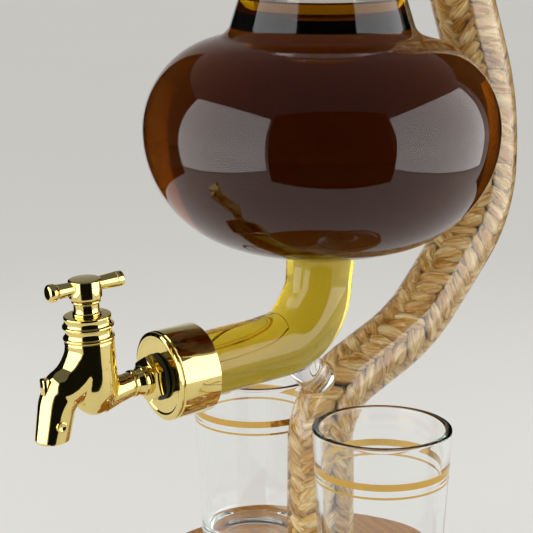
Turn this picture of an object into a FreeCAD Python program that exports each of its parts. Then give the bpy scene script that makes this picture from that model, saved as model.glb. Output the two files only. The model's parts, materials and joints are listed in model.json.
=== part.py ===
import FreeCAD, Part

import math
import os
import re

import Sketcher

# A hand-blown glass globe dispenser on a round wooden base. A glass stand tube, filled
# with a plait of natural fibre, rises from the base and wraps one side of the globe. A
# gold tap on a glass outlet elbow empties the globe, and two small glasses stand on the
# base. +Z is up and the origin is the centre of the felt under the base. The tap points
# along -X, the stand tube leaves along +X. Lengths are millimetres, angles degrees.

SIZES = {
    # base
    "felt_thickness": 1.5,
    "felt_inset": 2.0,
    "base_radius": 72.0,
    "base_thickness": 18.5,
    "base_round": 4.0,
    # stand tube, its seat in the base and its plait
    "tube_radius": 12.0,
    "tube_wall": 1.8,
    "seat_depth": 12.0,
    "bush_wall": 2.0,
    "glue_gap": 0.1,
    "bend_rise": 72.4,
    "bend_radius": 28.0,
    "low_slope": 26.0,
    "knee_reach": 43.8,
    "knee_radius": 60.0,
    "high_slope": 50.7,
    "wrap_radius": 50.0,
    "globe_gap": 2.4,
    "lean_rise": 3.8,
    "lean_radius": 110.0,
    "tube_lean": 19.4,
    "top_run": 75.8,
    "plait_gap": 0.5,
    "foot_plug_length": 6.0,
    "foot_flange": 2.0,
    # globe
    "equator_rise": 174.7,
    "globe_radius": 64.9,
    "upper_height": 38.6,
    "lower_height": 44.9,
    "upper_bow": 34.0,
    "lower_bow": 43.0,
    "globe_wall": 2.4,
    "neck_root_radius": 34.2,
    "neck_radius": 21.0,
    "neck_bow": 370.0,
    "lip_rise": 87.3,
    "lip_height": 4.0,
    "lip_overhang": 3.0,
    "lip_round": 1.2,
    "spigot_radius": 13.1,
    "spigot_length": 11.5,
    # outlet elbow
    "outlet_rise": 97.3,
    "outlet_dip": 3.5,
    "outlet_radius": 11.8,
    "outlet_wall": 2.0,
    "elbow_bend": 21.0,
    # glass stubs that join the stand tube to the outlet and to the neck
    "stub_radius": 6.5,
    "stub_slant": 45.0,
    "stub_x": 4.0,
    "stub_rise": 83.3,
    "stub_half_length": 12.0,
    "top_stub_radius": 6.0,
    "top_stub_rise": 69.0,
    # collar and what it clamps
    "collar_front": 70.1,
    "collar_length": 16.8,
    "collar_radius": 16.0,
    "collar_wall": 1.3,
    "collar_plate": 1.8,
    "collar_round": 1.4,
    "gasket_lip": 0.7,
    "bung_length": 8.0,
    "bung_flange": 1.6,
    "seal_gap": 0.1,
    "washer_radius": 8.3,
    "washer_thickness": 1.2,
    "lock_nut_flats": 14.6,
    "lock_nut_height": 4.0,
    "backing_nut_flats": 14.0,
    "backing_nut_height": 4.0,
    # tap, measured from the point where the stem crosses the outlet's line
    "tap_reach": 95.8,
    "shank_radius": 4.0,
    "shank_tail": 1.5,
    "inlet_bore": 2.6,
    "inlet_radius": 4.2,
    "ring_radius": 4.8,
    "flange_radius": 5.2,
    "flange_length": 2.2,
    "cone_length": 2.0,
    "ring_length": 1.8,
    "barrel_radius": 8.75,
    "barrel_foot_radius": 9.2,
    "barrel_top": 20.0,
    "barrel_waist": 7.0,
    "barrel_bottom": 7.0,
    "barrel_tail_radius": 5.0,
    "plug_radius": 4.5,
    "plug_bottom": 3.6,
    "plug_bore": 2.4,
    "running_gap": 0.05,
    "seal_section": 1.0,
    "seal_offset": 1.1,
    "spout_radius": 5.4,
    "spout_bore": 3.8,
    "spout_root_rise": 9.0,
    "spout_knee_x": 13.2,
    "spout_knee_rise": 3.2,
    "spout_knee_radius": 11.0,
    "spout_reach": 17.2,
    "spout_drop": 12.6,
    "lug_width": 3.4,
    "lug_thickness": 2.0,
    "lug_reach": 18.2,
    "lug_top": 9.8,
    "lug_bottom": 0.0,
    "boss_radius": 2.0,
    "boss_reach": 16.0,
    "boss_drop": 6.6,
    "boss_height": 0.8,
    # bonnet, gland, stem and handle
    "bonnet_radius": 8.2,
    "bonnet_top": 28.4,
    "bonnet_ring": 8.9,
    "bonnet_ring_rise": 24.6,
    "bonnet_ring_width": 1.0,
    "bonnet_spigot": 6.3,
    "bonnet_spigot_length": 8.0,
    "stem_radius": 2.2,
    "stem_seal_radius": 3.8,
    "stem_seal_height": 3.0,
    "gland_radius": 4.4,
    "gland_ring": 5.0,
    "gland_ring_width": 1.0,
    "gland_top": 33.7,
    "handle_gap": 0.3,
    "hub_radius": 5.7,
    "hub_height": 7.0,
    "bar_rise": 38.4,
    "bar_root_radius": 2.1,
    "bar_end_radius": 2.9,
    "bar_half_length": 11.6,
    "bar_groove": 0.5,
    "bar_cap_length": 2.6,
    "bar_cap_round": 1.2,
    # shot glasses
    "glass_offset": 40.7,
    "glass_shift": 1.8,
    "glass_height": 72.8,
    "glass_top_radius": 25.1,
    "glass_foot_radius": 21.2,
    "glass_wall": 2.6,
    "glass_floor": 8.0,
    "glass_foot_round": 1.5,
    "rest_gap": 0.3,
    # stopper
    "cork_gap": 0.3,
    "cork_taper": 1.2,
    "cork_length": 20.0,
    "cap_radius": 22.5,
    "cap_height": 14.0,
    "cap_round": 3.0,
    "cap_spigot_radius": 7.0,
    "cap_spigot_length": 9.0,
}

# Formulas that several pieces share.
BASE_TOP = "(felt_thickness + base_thickness)"
EQUATOR = f"({BASE_TOP} + equator_rise)"
SIDE_X = "(globe_radius + globe_gap + tube_radius)"
TUBE_FOOT = f"({BASE_TOP} - seat_depth + foot_flange)"
BEND_Z = f"({BASE_TOP} + bend_rise)"
KNEE_Z = f"({BEND_Z} + knee_reach * tan(low_slope))"
WRAP_Z = f"({KNEE_Z} + ({SIDE_X} - knee_reach) * tan(high_slope))"
LEAN_Z = f"({EQUATOR} + lean_rise)"
TOP_X = f"({SIDE_X} - top_run * sin(tube_lean))"
TOP_Z = f"({LEAN_Z} + top_run * cos(tube_lean))"
LIP_TOP = f"({EQUATOR} + lip_rise)"
LIP_FOOT = f"({LIP_TOP} - lip_height)"
MOUTH_RADIUS = "(neck_radius - globe_wall)"
SPIGOT_END = f"({EQUATOR} - lower_height - spigot_length)"
OUTLET_Z = f"({BASE_TOP} + outlet_rise)"
OUTLET_BORE = "(outlet_radius - outlet_wall)"
PLATE_BACK = "(collar_front - collar_plate)"
GLASS_END = f"({PLATE_BACK} - bung_flange)"
BUNG_BACK = f"({GLASS_END} - bung_length)"
NUT_FRONT = "(collar_front + washer_thickness + lock_nut_height)"
COLLAR_BORE = "(collar_radius - collar_wall)"
TAP_X = "(-tap_reach * cos(outlet_dip))"
TAP_Z = f"({OUTLET_Z} - tap_reach * sin(outlet_dip))"
CHAMBER = "(plug_radius + running_gap)"
STEM_BORE = "(stem_radius + running_gap)"
HUB_FOOT = "(gland_top + handle_gap)"
BONNET_FOOT = "(barrel_top - bonnet_spigot_length)"
PLUG_TOP = f"({BONNET_FOOT} - handle_gap)"

doc = FreeCAD.newDocument("globe_dispenser")
sheet = doc.addObject("Spreadsheet::Sheet", "Sizes")
for row, (alias, size) in enumerate(SIZES.items(), start=1):
    sheet.set(f"A{row}", alias)
    sheet.set(f"B{row}", str(size))
    sheet.setAlias(f"B{row}", alias)
doc.recompute()

ALIAS = re.compile(r"\b(" + "|".join(SIZES) + r")\b")
nodes = []


def bound(formula):
    """The formula as other objects of the document read it."""
    return ALIAS.sub(r"Sizes.\1", formula)


def value(formula):
    """The number that a formula gives with the sheet's sizes."""
    result = sheet.evalExpression(formula)
    return float(getattr(result, "Value", result))


def new_body(node):
    body = doc.addObject("PartDesign::Body", node)
    body.Label = node
    nodes.append(body)
    return body


def place(thing, x="0", y="0", z="0", dip="0"):
    """Put a piece at a point, its own X axis dipped towards -X by an angle."""
    thing.Placement = FreeCAD.Placement(
        FreeCAD.Vector(value(x), value(y), value(z)),
        FreeCAD.Rotation(FreeCAD.Vector(0, 1, 0), -value(dip)),
    )
    for axis, formula in zip("xyz", (x, y, z)):
        if formula != "0":
            thing.setExpression(f"Placement.Base.{axis}", bound(formula))
    if dip != "0":
        thing.setExpression("Placement.Rotation.Angle", bound(f"(-({dip})) * 1 deg"))


def on_outlet_line(body):
    """The outlet's frame: its X axis lies along the outlet, its origin under the globe."""
    place(body, z=OUTLET_Z, dip="outlet_dip")


def on_tap(body):
    """The tap's frame: Z is the stem's axis, and X runs back through the inlet."""
    place(body, x=TAP_X, z=TAP_Z, dip="outlet_dip")


def new_sketch(body, plane, name, offset="0"):
    """A sketch on one of the body's own origin planes, moved along the plane's normal."""
    sketch = body.newObject("Sketcher::SketchObject", name)
    support = next(part for part in body.Origin.OriginFeatures if part.Role == plane)
    sketch.AttachmentSupport = [(support, "")]
    sketch.MapMode = "FlatFace"
    if offset != "0":
        sketch.AttachmentOffset = FreeCAD.Placement(
            FreeCAD.Vector(0, 0, value(offset)), FreeCAD.Rotation()
        )
        sketch.setExpression("AttachmentOffset.Base.z", bound(offset))
    return sketch


def constrain(sketch, kind, *geometry, formula=None):
    """Add a constraint, bound to a formula where it has one."""
    if formula is None:
        return sketch.addConstraint(Sketcher.Constraint(kind, *geometry))
    index = sketch.addConstraint(Sketcher.Constraint(kind, *geometry, value(formula)))
    sketch.setExpression(f"Constraints[{index}]", bound(formula))
    return index


def pin_point(sketch, edge, end, x, y):
    """Hold one end of an edge at a point that two formulas give."""
    for kind, axis, formula in (("DistanceX", -2, x), ("DistanceY", -1, y)):
        if formula == "0":
            constrain(sketch, "PointOnObject", edge, end, axis)
        else:
            constrain(sketch, kind, -1, 1, edge, end, formula=formula)


def arc_between(start, end, radius, bulge):
    """The arc from start to end that bulges to the left (1) or the right (-1)."""
    if bulge > 0:
        start, end = end, start
    chord = end - start
    left = FreeCAD.Vector(-chord.y, chord.x, 0).normalize()
    depth = math.sqrt(max(radius**2 - (chord.Length / 2) ** 2, 0))
    centre = (start + end) / 2 + left * depth
    circle = Part.Circle(centre, FreeCAD.Vector(0, 0, 1), radius)
    return Part.ArcOfCircle(circle, circle.parameter(start), circle.parameter(end))


def draw_edges(sketch, points, arcs, closed):
    """Join points by lines, or by arcs where arcs holds (radius, bulge) for the edge."""
    spots = [FreeCAD.Vector(value(x), value(y), 0) for x, y in points]
    count = len(points) if closed else len(points) - 1
    ends = []
    for i in range(count):
        start = spots[i]
        end = spots[(i + 1) % len(spots)]
        if i in arcs:
            radius, bulge = arcs[i]
            edge = sketch.addGeometry(arc_between(start, end, value(radius), bulge), False)
            constrain(sketch, "Radius", edge, formula=radius)
        else:
            edge = sketch.addGeometry(Part.LineSegment(start, end), False)
        forward = (sketch.Geometry[edge].StartPoint - start).Length < 1e-6
        ends.append((edge, 1, 2) if forward else (edge, 2, 1))
    for i, (edge, first, last) in enumerate(ends):
        pin_point(sketch, edge, first, *points[i])
        if i + 1 < len(ends) or closed:
            after = ends[(i + 1) % len(ends)]
            constrain(sketch, "Coincident", edge, last, after[0], after[1])
        else:
            pin_point(sketch, edge, last, *points[-1])


def draw_outline(sketch, corners, arcs=None):
    """A closed outline. A corner is (x, y), or (x, y, radius) at a rounded right angle."""
    arcs = arcs or {}
    spots = [(value(corner[0]), value(corner[1])) for corner in corners]
    points = []
    bends = {}
    for i, corner in enumerate(corners):
        x, y = corner[:2]
        if len(corner) == 3:
            radius = corner[2]
            before, here, after = spots[i - 1], spots[i], spots[(i + 1) % len(spots)]
            knots = []
            for other in (before, after):
                across = other[0] - here[0]
                along = other[1] - here[1]
                if abs(across) > abs(along):
                    knots.append((f"{x} {'+' if across > 0 else '-'} {radius}", y))
                else:
                    knots.append((x, f"{y} {'+' if along > 0 else '-'} {radius}"))
            turn = (here[0] - before[0]) * (after[1] - here[1]) - (here[1] - before[1]) * (
                after[0] - here[0]
            )
            bends[len(points)] = (radius, -1 if turn > 0 else 1)
            points.extend(knots)
        else:
            points.append((x, y))
        if i in arcs:
            bends[len(points) - 1] = arcs[i]
    draw_edges(sketch, points, bends, closed=True)


def draw_path(sketch, corners, headings, radii):
    """Straight legs, each at its heading, with a tangent arc at every inner corner."""
    points = [corners[0]]
    arcs = {}
    for (x, y), before, after, radius in zip(corners[1:-1], headings, headings[1:], radii):
        reach = f"{radius} * tan(abs(({after}) - ({before})) / 2)"
        points.append((f"{x} - {reach} * cos({before})", f"{y} - {reach} * sin({before})"))
        arcs[len(points) - 1] = (radius, -1 if value(f"({after}) - ({before})") > 0 else 1)
        points.append((f"{x} + {reach} * cos({after})", f"{y} + {reach} * sin({after})"))
    points.append(corners[-1])
    draw_edges(sketch, points, arcs, closed=False)


def draw_circle(sketch, radius, x="0", y="0"):
    circle = sketch.addGeometry(
        Part.Circle(FreeCAD.Vector(value(x), value(y), 0), FreeCAD.Vector(0, 0, 1), value(radius)),
        False,
    )
    constrain(sketch, "Radius", circle, formula=radius)
    pin_point(sketch, circle, 3, x, y)


def draw_hexagon(sketch, flats):
    """A regular hexagon about the origin, with two corners on the sketch's X axis."""
    points = [
        (f"{flats} / sqrt(3) * cos({60 * i})", f"{flats} / sqrt(3) * sin({60 * i})" if i % 3 else "0")
        for i in range(6)
    ]
    draw_edges(sketch, points, {}, closed=True)


def turn(body, name, corners, arcs=None, axis="V_Axis", cut=False):
    """Revolve an outline in the XZ plane about the body's Z axis, or about its X axis."""
    sketch = new_sketch(body, "XZ_Plane", f"{name}_outline")
    draw_outline(sketch, corners, arcs)
    doc.recompute()
    kind = "PartDesign::Groove" if cut else "PartDesign::Revolution"
    feature = body.newObject(kind, name)
    feature.Profile = sketch
    feature.ReferenceAxis = (sketch, [axis])
    feature.Angle = 360
    return feature


def turned_node(node, corners, arcs=None, axis="V_Axis"):
    body = new_body(node)
    turn(body, f"{node}_solid", corners, arcs, axis)
    return body


def ring_corners(inner, outer, low, high):
    return [(inner, low), (outer, low), (outer, high), (inner, high)]


def along_x(inner, outer, start, end):
    """A ring's outline about the X axis, from one distance out along the outlet to another."""
    return [(f"-{start}", inner), (f"-{start}", outer), (f"-{end}", outer), (f"-{end}", inner)]


def sweep(body, name, path, section, cut=False):
    kind = "PartDesign::SubtractivePipe" if cut else "PartDesign::AdditivePipe"
    feature = body.newObject(kind, name)
    feature.Profile = section
    feature.Spine = path
    return feature


def pad(body, name, sketch, length, midplane=False):
    feature = body.newObject("PartDesign::Pad", name)
    feature.Profile = sketch
    feature.setExpression("Length", bound(length))
    feature.Midplane = midplane


def ball(body, name, radius, x, z, cut=False):
    kind = "PartDesign::SubtractiveSphere" if cut else "PartDesign::AdditiveSphere"
    feature = body.newObject(kind, name)
    feature.setExpression("Radius", bound(radius))
    feature.Placement = FreeCAD.Placement(FreeCAD.Vector(value(x), 0, value(z)), FreeCAD.Rotation())
    feature.setExpression("Placement.Base.x", bound(x))
    feature.setExpression("Placement.Base.z", bound(z))
    return feature


# Base ---------------------------------------------------------------------------------


def make_base_felt():
    """A felt disc glued under the wood."""
    turned_node("base_felt", ring_corners("0", "base_radius - felt_inset", "0", "felt_thickness"))


def make_wooden_base():
    """A turned disc with rounded edges and a blind bore for the stand tube."""
    bore = "(tube_radius + 2 * glue_gap + bush_wall)"
    floor = f"{BASE_TOP} - seat_depth"
    turned_node(
        "wooden_base",
        [
            ("0", "felt_thickness"),
            ("base_radius", "felt_thickness", "base_round"),
            ("base_radius", BASE_TOP, "base_round"),
            (bore, BASE_TOP),
            (bore, floor),
            ("0", floor),
        ],
    )


def make_tube_seat_bush():
    """The sleeve that holds the tube's foot in the bore."""
    inner = "(tube_radius + glue_gap)"
    turned_node(
        "tube_seat_bush",
        ring_corners(inner, f"{inner} + bush_wall", f"{BASE_TOP} - seat_depth", BASE_TOP),
    )


# Stand tube and plait -----------------------------------------------------------------


def tube_path(body, name, start_z):
    """The tube's centreline in the XZ plane, from a height on the stem to the top end."""
    path = new_sketch(body, "XZ_Plane", name)
    corners = [
        ("0", start_z),
        ("0", BEND_Z),
        ("knee_reach", KNEE_Z),
        (SIDE_X, WRAP_Z),
        (SIDE_X, LEAN_Z),
        (TOP_X, TOP_Z),
    ]
    headings = ["90", "low_slope", "high_slope", "90", "90 + tube_lean"]
    draw_path(path, corners, headings, ["bend_radius", "knee_radius", "wrap_radius", "lean_radius"])
    return path


def tube_length(body, radius, start_z, name, cut=False):
    """Sweep a disc along the tube's centreline and round its top end with a ball."""
    path = tube_path(body, f"{name}_path", start_z)
    disc = new_sketch(body, "XY_Plane", f"{name}_disc", start_z)
    draw_circle(disc, radius)
    doc.recompute()
    sweep(body, f"{name}_length", path, disc, cut)
    doc.recompute()
    end = ball(body, f"{name}_end", radius, TOP_X, TOP_Z, cut)
    doc.recompute()
    return end


def make_stand_tube():
    """A glass tube with an open foot and a closed, domed top."""
    body = new_body("stand_tube")
    envelope = tube_length(body, "tube_radius", TUBE_FOOT, "tube_outside")
    tube_length(body, "(tube_radius - tube_wall)", TUBE_FOOT, "tube_inside", cut=True)
    return envelope


def make_braided_plait():
    """The space that the plait fills inside the tube."""
    body = new_body("braided_plait")
    radius = "(tube_radius - tube_wall - plait_gap)"
    tube_length(body, radius, f"({TUBE_FOOT} + foot_plug_length)", "plait")


def make_foot_plug():
    """The stopper under the plait, with a flange that the tube's foot stands on."""
    bore = "(tube_radius - tube_wall - glue_gap)"
    floor = f"{BASE_TOP} - seat_depth"
    turned_node(
        "foot_plug",
        [
            ("0", floor),
            ("tube_radius", floor),
            ("tube_radius", TUBE_FOOT),
            (bore, TUBE_FOOT),
            (bore, f"{TUBE_FOOT} + foot_plug_length"),
            ("0", f"{TUBE_FOOT} + foot_plug_length"),
        ],
    )


# Globe and outlet ---------------------------------------------------------------------


def oval_side(half_width, half_height, side_radius):
    """Where a side arc meets the wide arc through the pole, and that arc's radius."""
    reach = f"({half_width} - ({side_radius}))"
    wide = (
        f"(({reach} * {reach} + ({half_height}) * ({half_height})"
        f" - ({side_radius}) * ({side_radius})) / (2 * (({half_height}) - ({side_radius}))))"
    )
    share = f"(({side_radius}) / ({wide} - ({side_radius})))"
    x = f"({reach} + {reach} * {share})"
    rise = f"(({wide} - ({half_height})) * {share})"
    return x, rise, wide


def height_on_wide_arc(half_height, wide, radius):
    """How far above or below the equator the wide arc is at a distance from the axis."""
    return f"(({half_height}) - {wide} + sqrt({wide} * {wide} - ({radius}) * ({radius})))"


def globe_side(inset):
    """One wall surface of the globe, from the neck's foot down to the spigot's top."""
    side = f"(globe_radius - {inset})"
    upper = f"(upper_height - {inset})"
    lower = f"(lower_height - {inset})"
    upper_bow = f"(upper_bow - {inset})"
    lower_bow = f"(lower_bow - {inset})"
    root = f"(neck_root_radius - {inset})"
    spigot = f"(spigot_radius - {inset})"
    upper_x, upper_rise, upper_wide = oval_side(side, upper, upper_bow)
    lower_x, lower_rise, lower_wide = oval_side(side, lower, lower_bow)
    points = [
        (root, f"{EQUATOR} + {height_on_wide_arc(upper, upper_wide, root)}"),
        (upper_x, f"{EQUATOR} + {upper_rise}"),
        (side, EQUATOR),
        (lower_x, f"{EQUATOR} - {lower_rise}"),
        (spigot, f"{EQUATOR} - {height_on_wide_arc(lower, lower_wide, spigot)}"),
    ]
    return points, [(radius, 1) for radius in (upper_wide, upper_bow, lower_bow, lower_wide)]


def make_glass_globe():
    """The globe's wall, from the seam at the neck's root down to the spigot's foot."""
    outside, outside_arcs = globe_side("0")
    inside, inside_arcs = globe_side("globe_wall")
    foot = [("outlet_radius", SPIGOT_END), (OUTLET_BORE, SPIGOT_END)]
    inner_start = len(outside) + len(foot)
    arcs = dict(enumerate(outside_arcs))
    for i, (radius, bulge) in enumerate(reversed(inside_arcs)):
        arcs[inner_start + i] = (radius, -bulge)
    turned_node("glass_globe", [*outside, *foot, *reversed(inside)], arcs)


def make_glass_neck():
    """The flared neck with its rolled lip, fused to the globe along a mitred seam."""
    body = new_body("glass_neck")
    lip = "(neck_radius + lip_overhang)"
    outer_root = globe_side("0")[0][0]
    inner_root = globe_side("globe_wall")[0][0]
    seam_foot = ("0", inner_root[1])
    corners = [("0", LIP_TOP), (lip, LIP_TOP, "lip_round"), (lip, LIP_FOOT, "lip_round")]
    corners.extend([("neck_radius", LIP_FOOT), outer_root, inner_root, seam_foot])
    envelope = turn(body, "neck_outside", corners, {3: ("neck_bow", -1)})
    doc.recompute()
    corners = [("0", LIP_TOP), (MOUTH_RADIUS, LIP_TOP), (MOUTH_RADIUS, LIP_FOOT)]
    corners.extend([inner_root, seam_foot])
    turn(body, "neck_inside", corners, {2: ("(neck_bow + globe_wall)", -1)}, cut=True)
    return envelope


def outlet_path(body, name):
    """The outlet's centreline: down from the spigot, then out along the dipping line."""
    path = new_sketch(body, "XZ_Plane", name)
    corners = [
        ("0", SPIGOT_END),
        ("0", OUTLET_Z),
        (f"-{GLASS_END} * cos(outlet_dip)", f"{OUTLET_Z} - {GLASS_END} * sin(outlet_dip)"),
    ]
    draw_path(path, corners, ["270", "180 + outlet_dip"], ["elbow_bend"])
    return path


def outlet_length(body, radius, name, cut=False):
    path = outlet_path(body, f"{name}_path")
    disc = new_sketch(body, "XY_Plane", f"{name}_disc", SPIGOT_END)
    draw_circle(disc, radius)
    doc.recompute()
    length = sweep(body, f"{name}_length", path, disc, cut)
    doc.recompute()
    return length


def make_outlet_elbow():
    """The bent glass outlet that grows from the globe's spigot."""
    body = new_body("outlet_elbow")
    envelope = outlet_length(body, "outlet_radius", "outlet_outside")
    outlet_length(body, OUTLET_BORE, "outlet_inside", cut=True)
    return envelope


def stub(node, radius, x, z, slant, length, envelopes):
    """A round glass bar from a point, shaped at both ends by the walls it is fused to."""
    bar = doc.addObject("Part::Cylinder", f"{node}_bar")
    bar.setExpression("Radius", bound(radius))
    bar.setExpression("Height", bound(length))
    bar.Placement.Rotation = FreeCAD.Rotation(FreeCAD.Vector(0, 1, 0), value(f"90 + {slant}"))
    bar.setExpression("Placement.Base.x", bound(x))
    bar.setExpression("Placement.Base.z", bound(z))
    bar.setExpression("Placement.Rotation.Angle", bound(f"(90 + {slant}) * 1 deg"))
    for count, envelope in enumerate(envelopes):
        trimmed = doc.addObject("Part::Cut", f"{node}_trim_{count}")
        trimmed.Base = bar
        trimmed.Tool = envelope
        bar = trimmed
    bar.Label = node
    nodes.append(bar)


def make_stubs(neck, outlet, tube):
    """The bars that tie the stand tube to the outlet and to the neck."""
    stub(
        "lower_stub",
        "stub_radius",
        "-stub_x - stub_half_length * cos(stub_slant)",
        f"{BASE_TOP} + stub_rise + stub_half_length * sin(stub_slant)",
        "stub_slant",
        "2 * stub_half_length",
        [outlet, tube],
    )
    tube_x = f"({SIDE_X} - ({EQUATOR} + top_stub_rise - {LEAN_Z}) * tan(tube_lean))"
    stub(
        "upper_stub",
        "top_stub_radius",
        "neck_radius / 2",
        f"{EQUATOR} + top_stub_rise",
        "0",
        f"{tube_x} - neck_radius / 2",
        [neck, tube],
    )


# Collar and clamp ---------------------------------------------------------------------


def outlet_node(node, corners):
    """A piece turned about the outlet's line."""
    body = new_body(node)
    turn(body, f"{node}_solid", corners, axis="H_Axis")
    on_outlet_line(body)
    return body


def make_collar():
    """The cap that covers the outlet's end, open at the back and plated at the front."""
    back = "(collar_front - collar_length)"
    hole = "(shank_radius + seal_gap)"
    outlet_node(
        "gold_collar",
        [
            (f"-{back}", COLLAR_BORE),
            (f"-{back}", "collar_radius"),
            ("-collar_front", "collar_radius", "collar_round"),
            ("-collar_front", hole),
            (f"-{PLATE_BACK}", hole),
            (f"-{PLATE_BACK}", COLLAR_BORE),
        ],
    )
    outlet_node(
        "collar_gasket",
        along_x(
            "(outlet_radius + seal_gap)",
            f"({COLLAR_BORE} - seal_gap)",
            f"({back} - gasket_lip)",
            GLASS_END,
        ),
    )


def make_outlet_bung():
    """The rubber bung in the outlet's mouth, with a flange between glass and plate."""
    hole = "(shank_radius + seal_gap)"
    body = f"({OUTLET_BORE} - seal_gap)"
    outlet_node(
        "outlet_bung",
        [
            (f"-{BUNG_BACK}", hole),
            (f"-{BUNG_BACK}", body),
            (f"-{GLASS_END}", body),
            (f"-{GLASS_END}", f"{COLLAR_BORE} - seal_gap"),
            (f"-{PLATE_BACK}", f"{COLLAR_BORE} - seal_gap"),
            (f"-{PLATE_BACK}", hole),
        ],
    )


def hex_nut(node, flats, height, end):
    """A hexagonal nut round the shank, its front face at a distance along the outlet."""
    body = new_body(node)
    hexagon = new_sketch(body, "YZ_Plane", f"{node}_hexagon", f"-{end}")
    draw_hexagon(hexagon, flats)
    draw_circle(hexagon, "(shank_radius + seal_gap)")
    doc.recompute()
    pad(body, f"{node}_solid", hexagon, height)
    on_outlet_line(body)


def make_clamp():
    """The washer and nut in front of the collar, and the nut behind the bung."""
    outlet_node(
        "face_washer",
        along_x(
            "(shank_radius + seal_gap)",
            "washer_radius",
            "collar_front",
            "(collar_front + washer_thickness)",
        ),
    )
    hex_nut("lock_nut", "lock_nut_flats", "lock_nut_height", NUT_FRONT)
    hex_nut("backing_nut", "backing_nut_flats", "backing_nut_height", BUNG_BACK)


# Tap ----------------------------------------------------------------------------------


def tap_node(node, corners):
    """A piece turned about the stem's axis."""
    body = new_body(node)
    turn(body, f"{node}_solid", corners)
    on_tap(body)
    return body


def spout_path(body, name):
    """The spout's centreline, from inside the barrel to its mouth."""
    path = new_sketch(body, "XZ_Plane", name)
    knee = ("-spout_knee_x", "spout_knee_rise")
    mouth = ("-spout_reach", "-spout_drop")
    first = "(180 + atan((spout_root_rise - spout_knee_rise) / spout_knee_x) / 1 deg)"
    drop = "(spout_drop + spout_knee_rise)"
    second = f"(180 + atan({drop} / (spout_reach - spout_knee_x)) / 1 deg)"
    corners = [("0", "spout_root_rise"), knee, mouth]
    draw_path(path, corners, [first, second], ["spout_knee_radius"])
    return path


def spout_length(body, name, radius, cut=False):
    path = spout_path(body, f"{name}_path")
    disc = new_sketch(body, "YZ_Plane", f"{name}_disc")
    draw_circle(disc, radius, y="spout_root_rise")
    doc.recompute()
    sweep(body, name, path, disc, cut)
    doc.recompute()


def make_tap_body():
    """Barrel, inlet with its rings and shank, and spout, in one casting with real bores."""
    body = new_body("tap_body")
    barrel = [
        ("0", "-barrel_bottom"),
        ("barrel_tail_radius", "-barrel_bottom"),
        ("barrel_foot_radius", "0"),
        ("barrel_radius", "barrel_waist"),
        ("barrel_radius", "barrel_top"),
        ("0", "barrel_top"),
    ]
    turn(body, "barrel", barrel)
    doc.recompute()
    nut = f"(tap_reach - {NUT_FRONT})"
    flange = f"({nut} - flange_length)"
    ring = f"({flange} - cone_length)"
    pipe = f"({ring} - ring_length)"
    shank = f"(tap_reach - {BUNG_BACK} + backing_nut_height + shank_tail)"
    inlet = [
        ("0", "0"),
        (shank, "0"),
        (shank, "shank_radius"),
        (nut, "shank_radius"),
        (nut, "flange_radius"),
        (flange, "flange_radius"),
        (ring, "inlet_radius"),
        (ring, "ring_radius"),
        (pipe, "ring_radius"),
        (pipe, "inlet_radius"),
        ("0", "inlet_radius"),
    ]
    turn(body, "inlet", inlet, axis="H_Axis")
    doc.recompute()
    spout_length(body, "spout", "spout_radius")
    add_lug_and_boss(body)
    chamber = [
        ("0", "-plug_bottom - running_gap"),
        (CHAMBER, "-plug_bottom - running_gap"),
        (CHAMBER, BONNET_FOOT),
        ("(bonnet_spigot + seal_gap)", BONNET_FOOT),
        ("(bonnet_spigot + seal_gap)", "barrel_top"),
        ("0", "barrel_top"),
    ]
    turn(body, "chamber", chamber, cut=True)
    doc.recompute()
    turn(
        body,
        "inlet_hole",
        [("0", "0"), (shank, "0"), (shank, "inlet_bore"), ("0", "inlet_bore")],
        axis="H_Axis",
        cut=True,
    )
    doc.recompute()
    spout_length(body, "spout_hole", "spout_bore", cut=True)
    on_tap(body)


def add_lug_and_boss(body):
    """The small upright lug on the spout's crest and the round boss on its side."""
    lug = new_sketch(body, "XZ_Plane", "lug_outline")
    inner = "-(lug_reach - lug_thickness)"
    draw_outline(
        lug,
        [
            ("-lug_reach", "lug_bottom"),
            (inner, "lug_bottom"),
            (inner, "lug_top"),
            ("-lug_reach", "lug_top"),
        ],
    )
    doc.recompute()
    pad(body, "lug", lug, "lug_width", midplane=True)
    doc.recompute()
    boss = new_sketch(body, "XZ_Plane", "boss_outline")
    draw_circle(boss, "boss_radius", "-boss_reach", "-boss_drop")
    doc.recompute()
    pad(body, "boss", boss, "2 * (spout_radius + boss_height)", midplane=True)
    doc.recompute()


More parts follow.
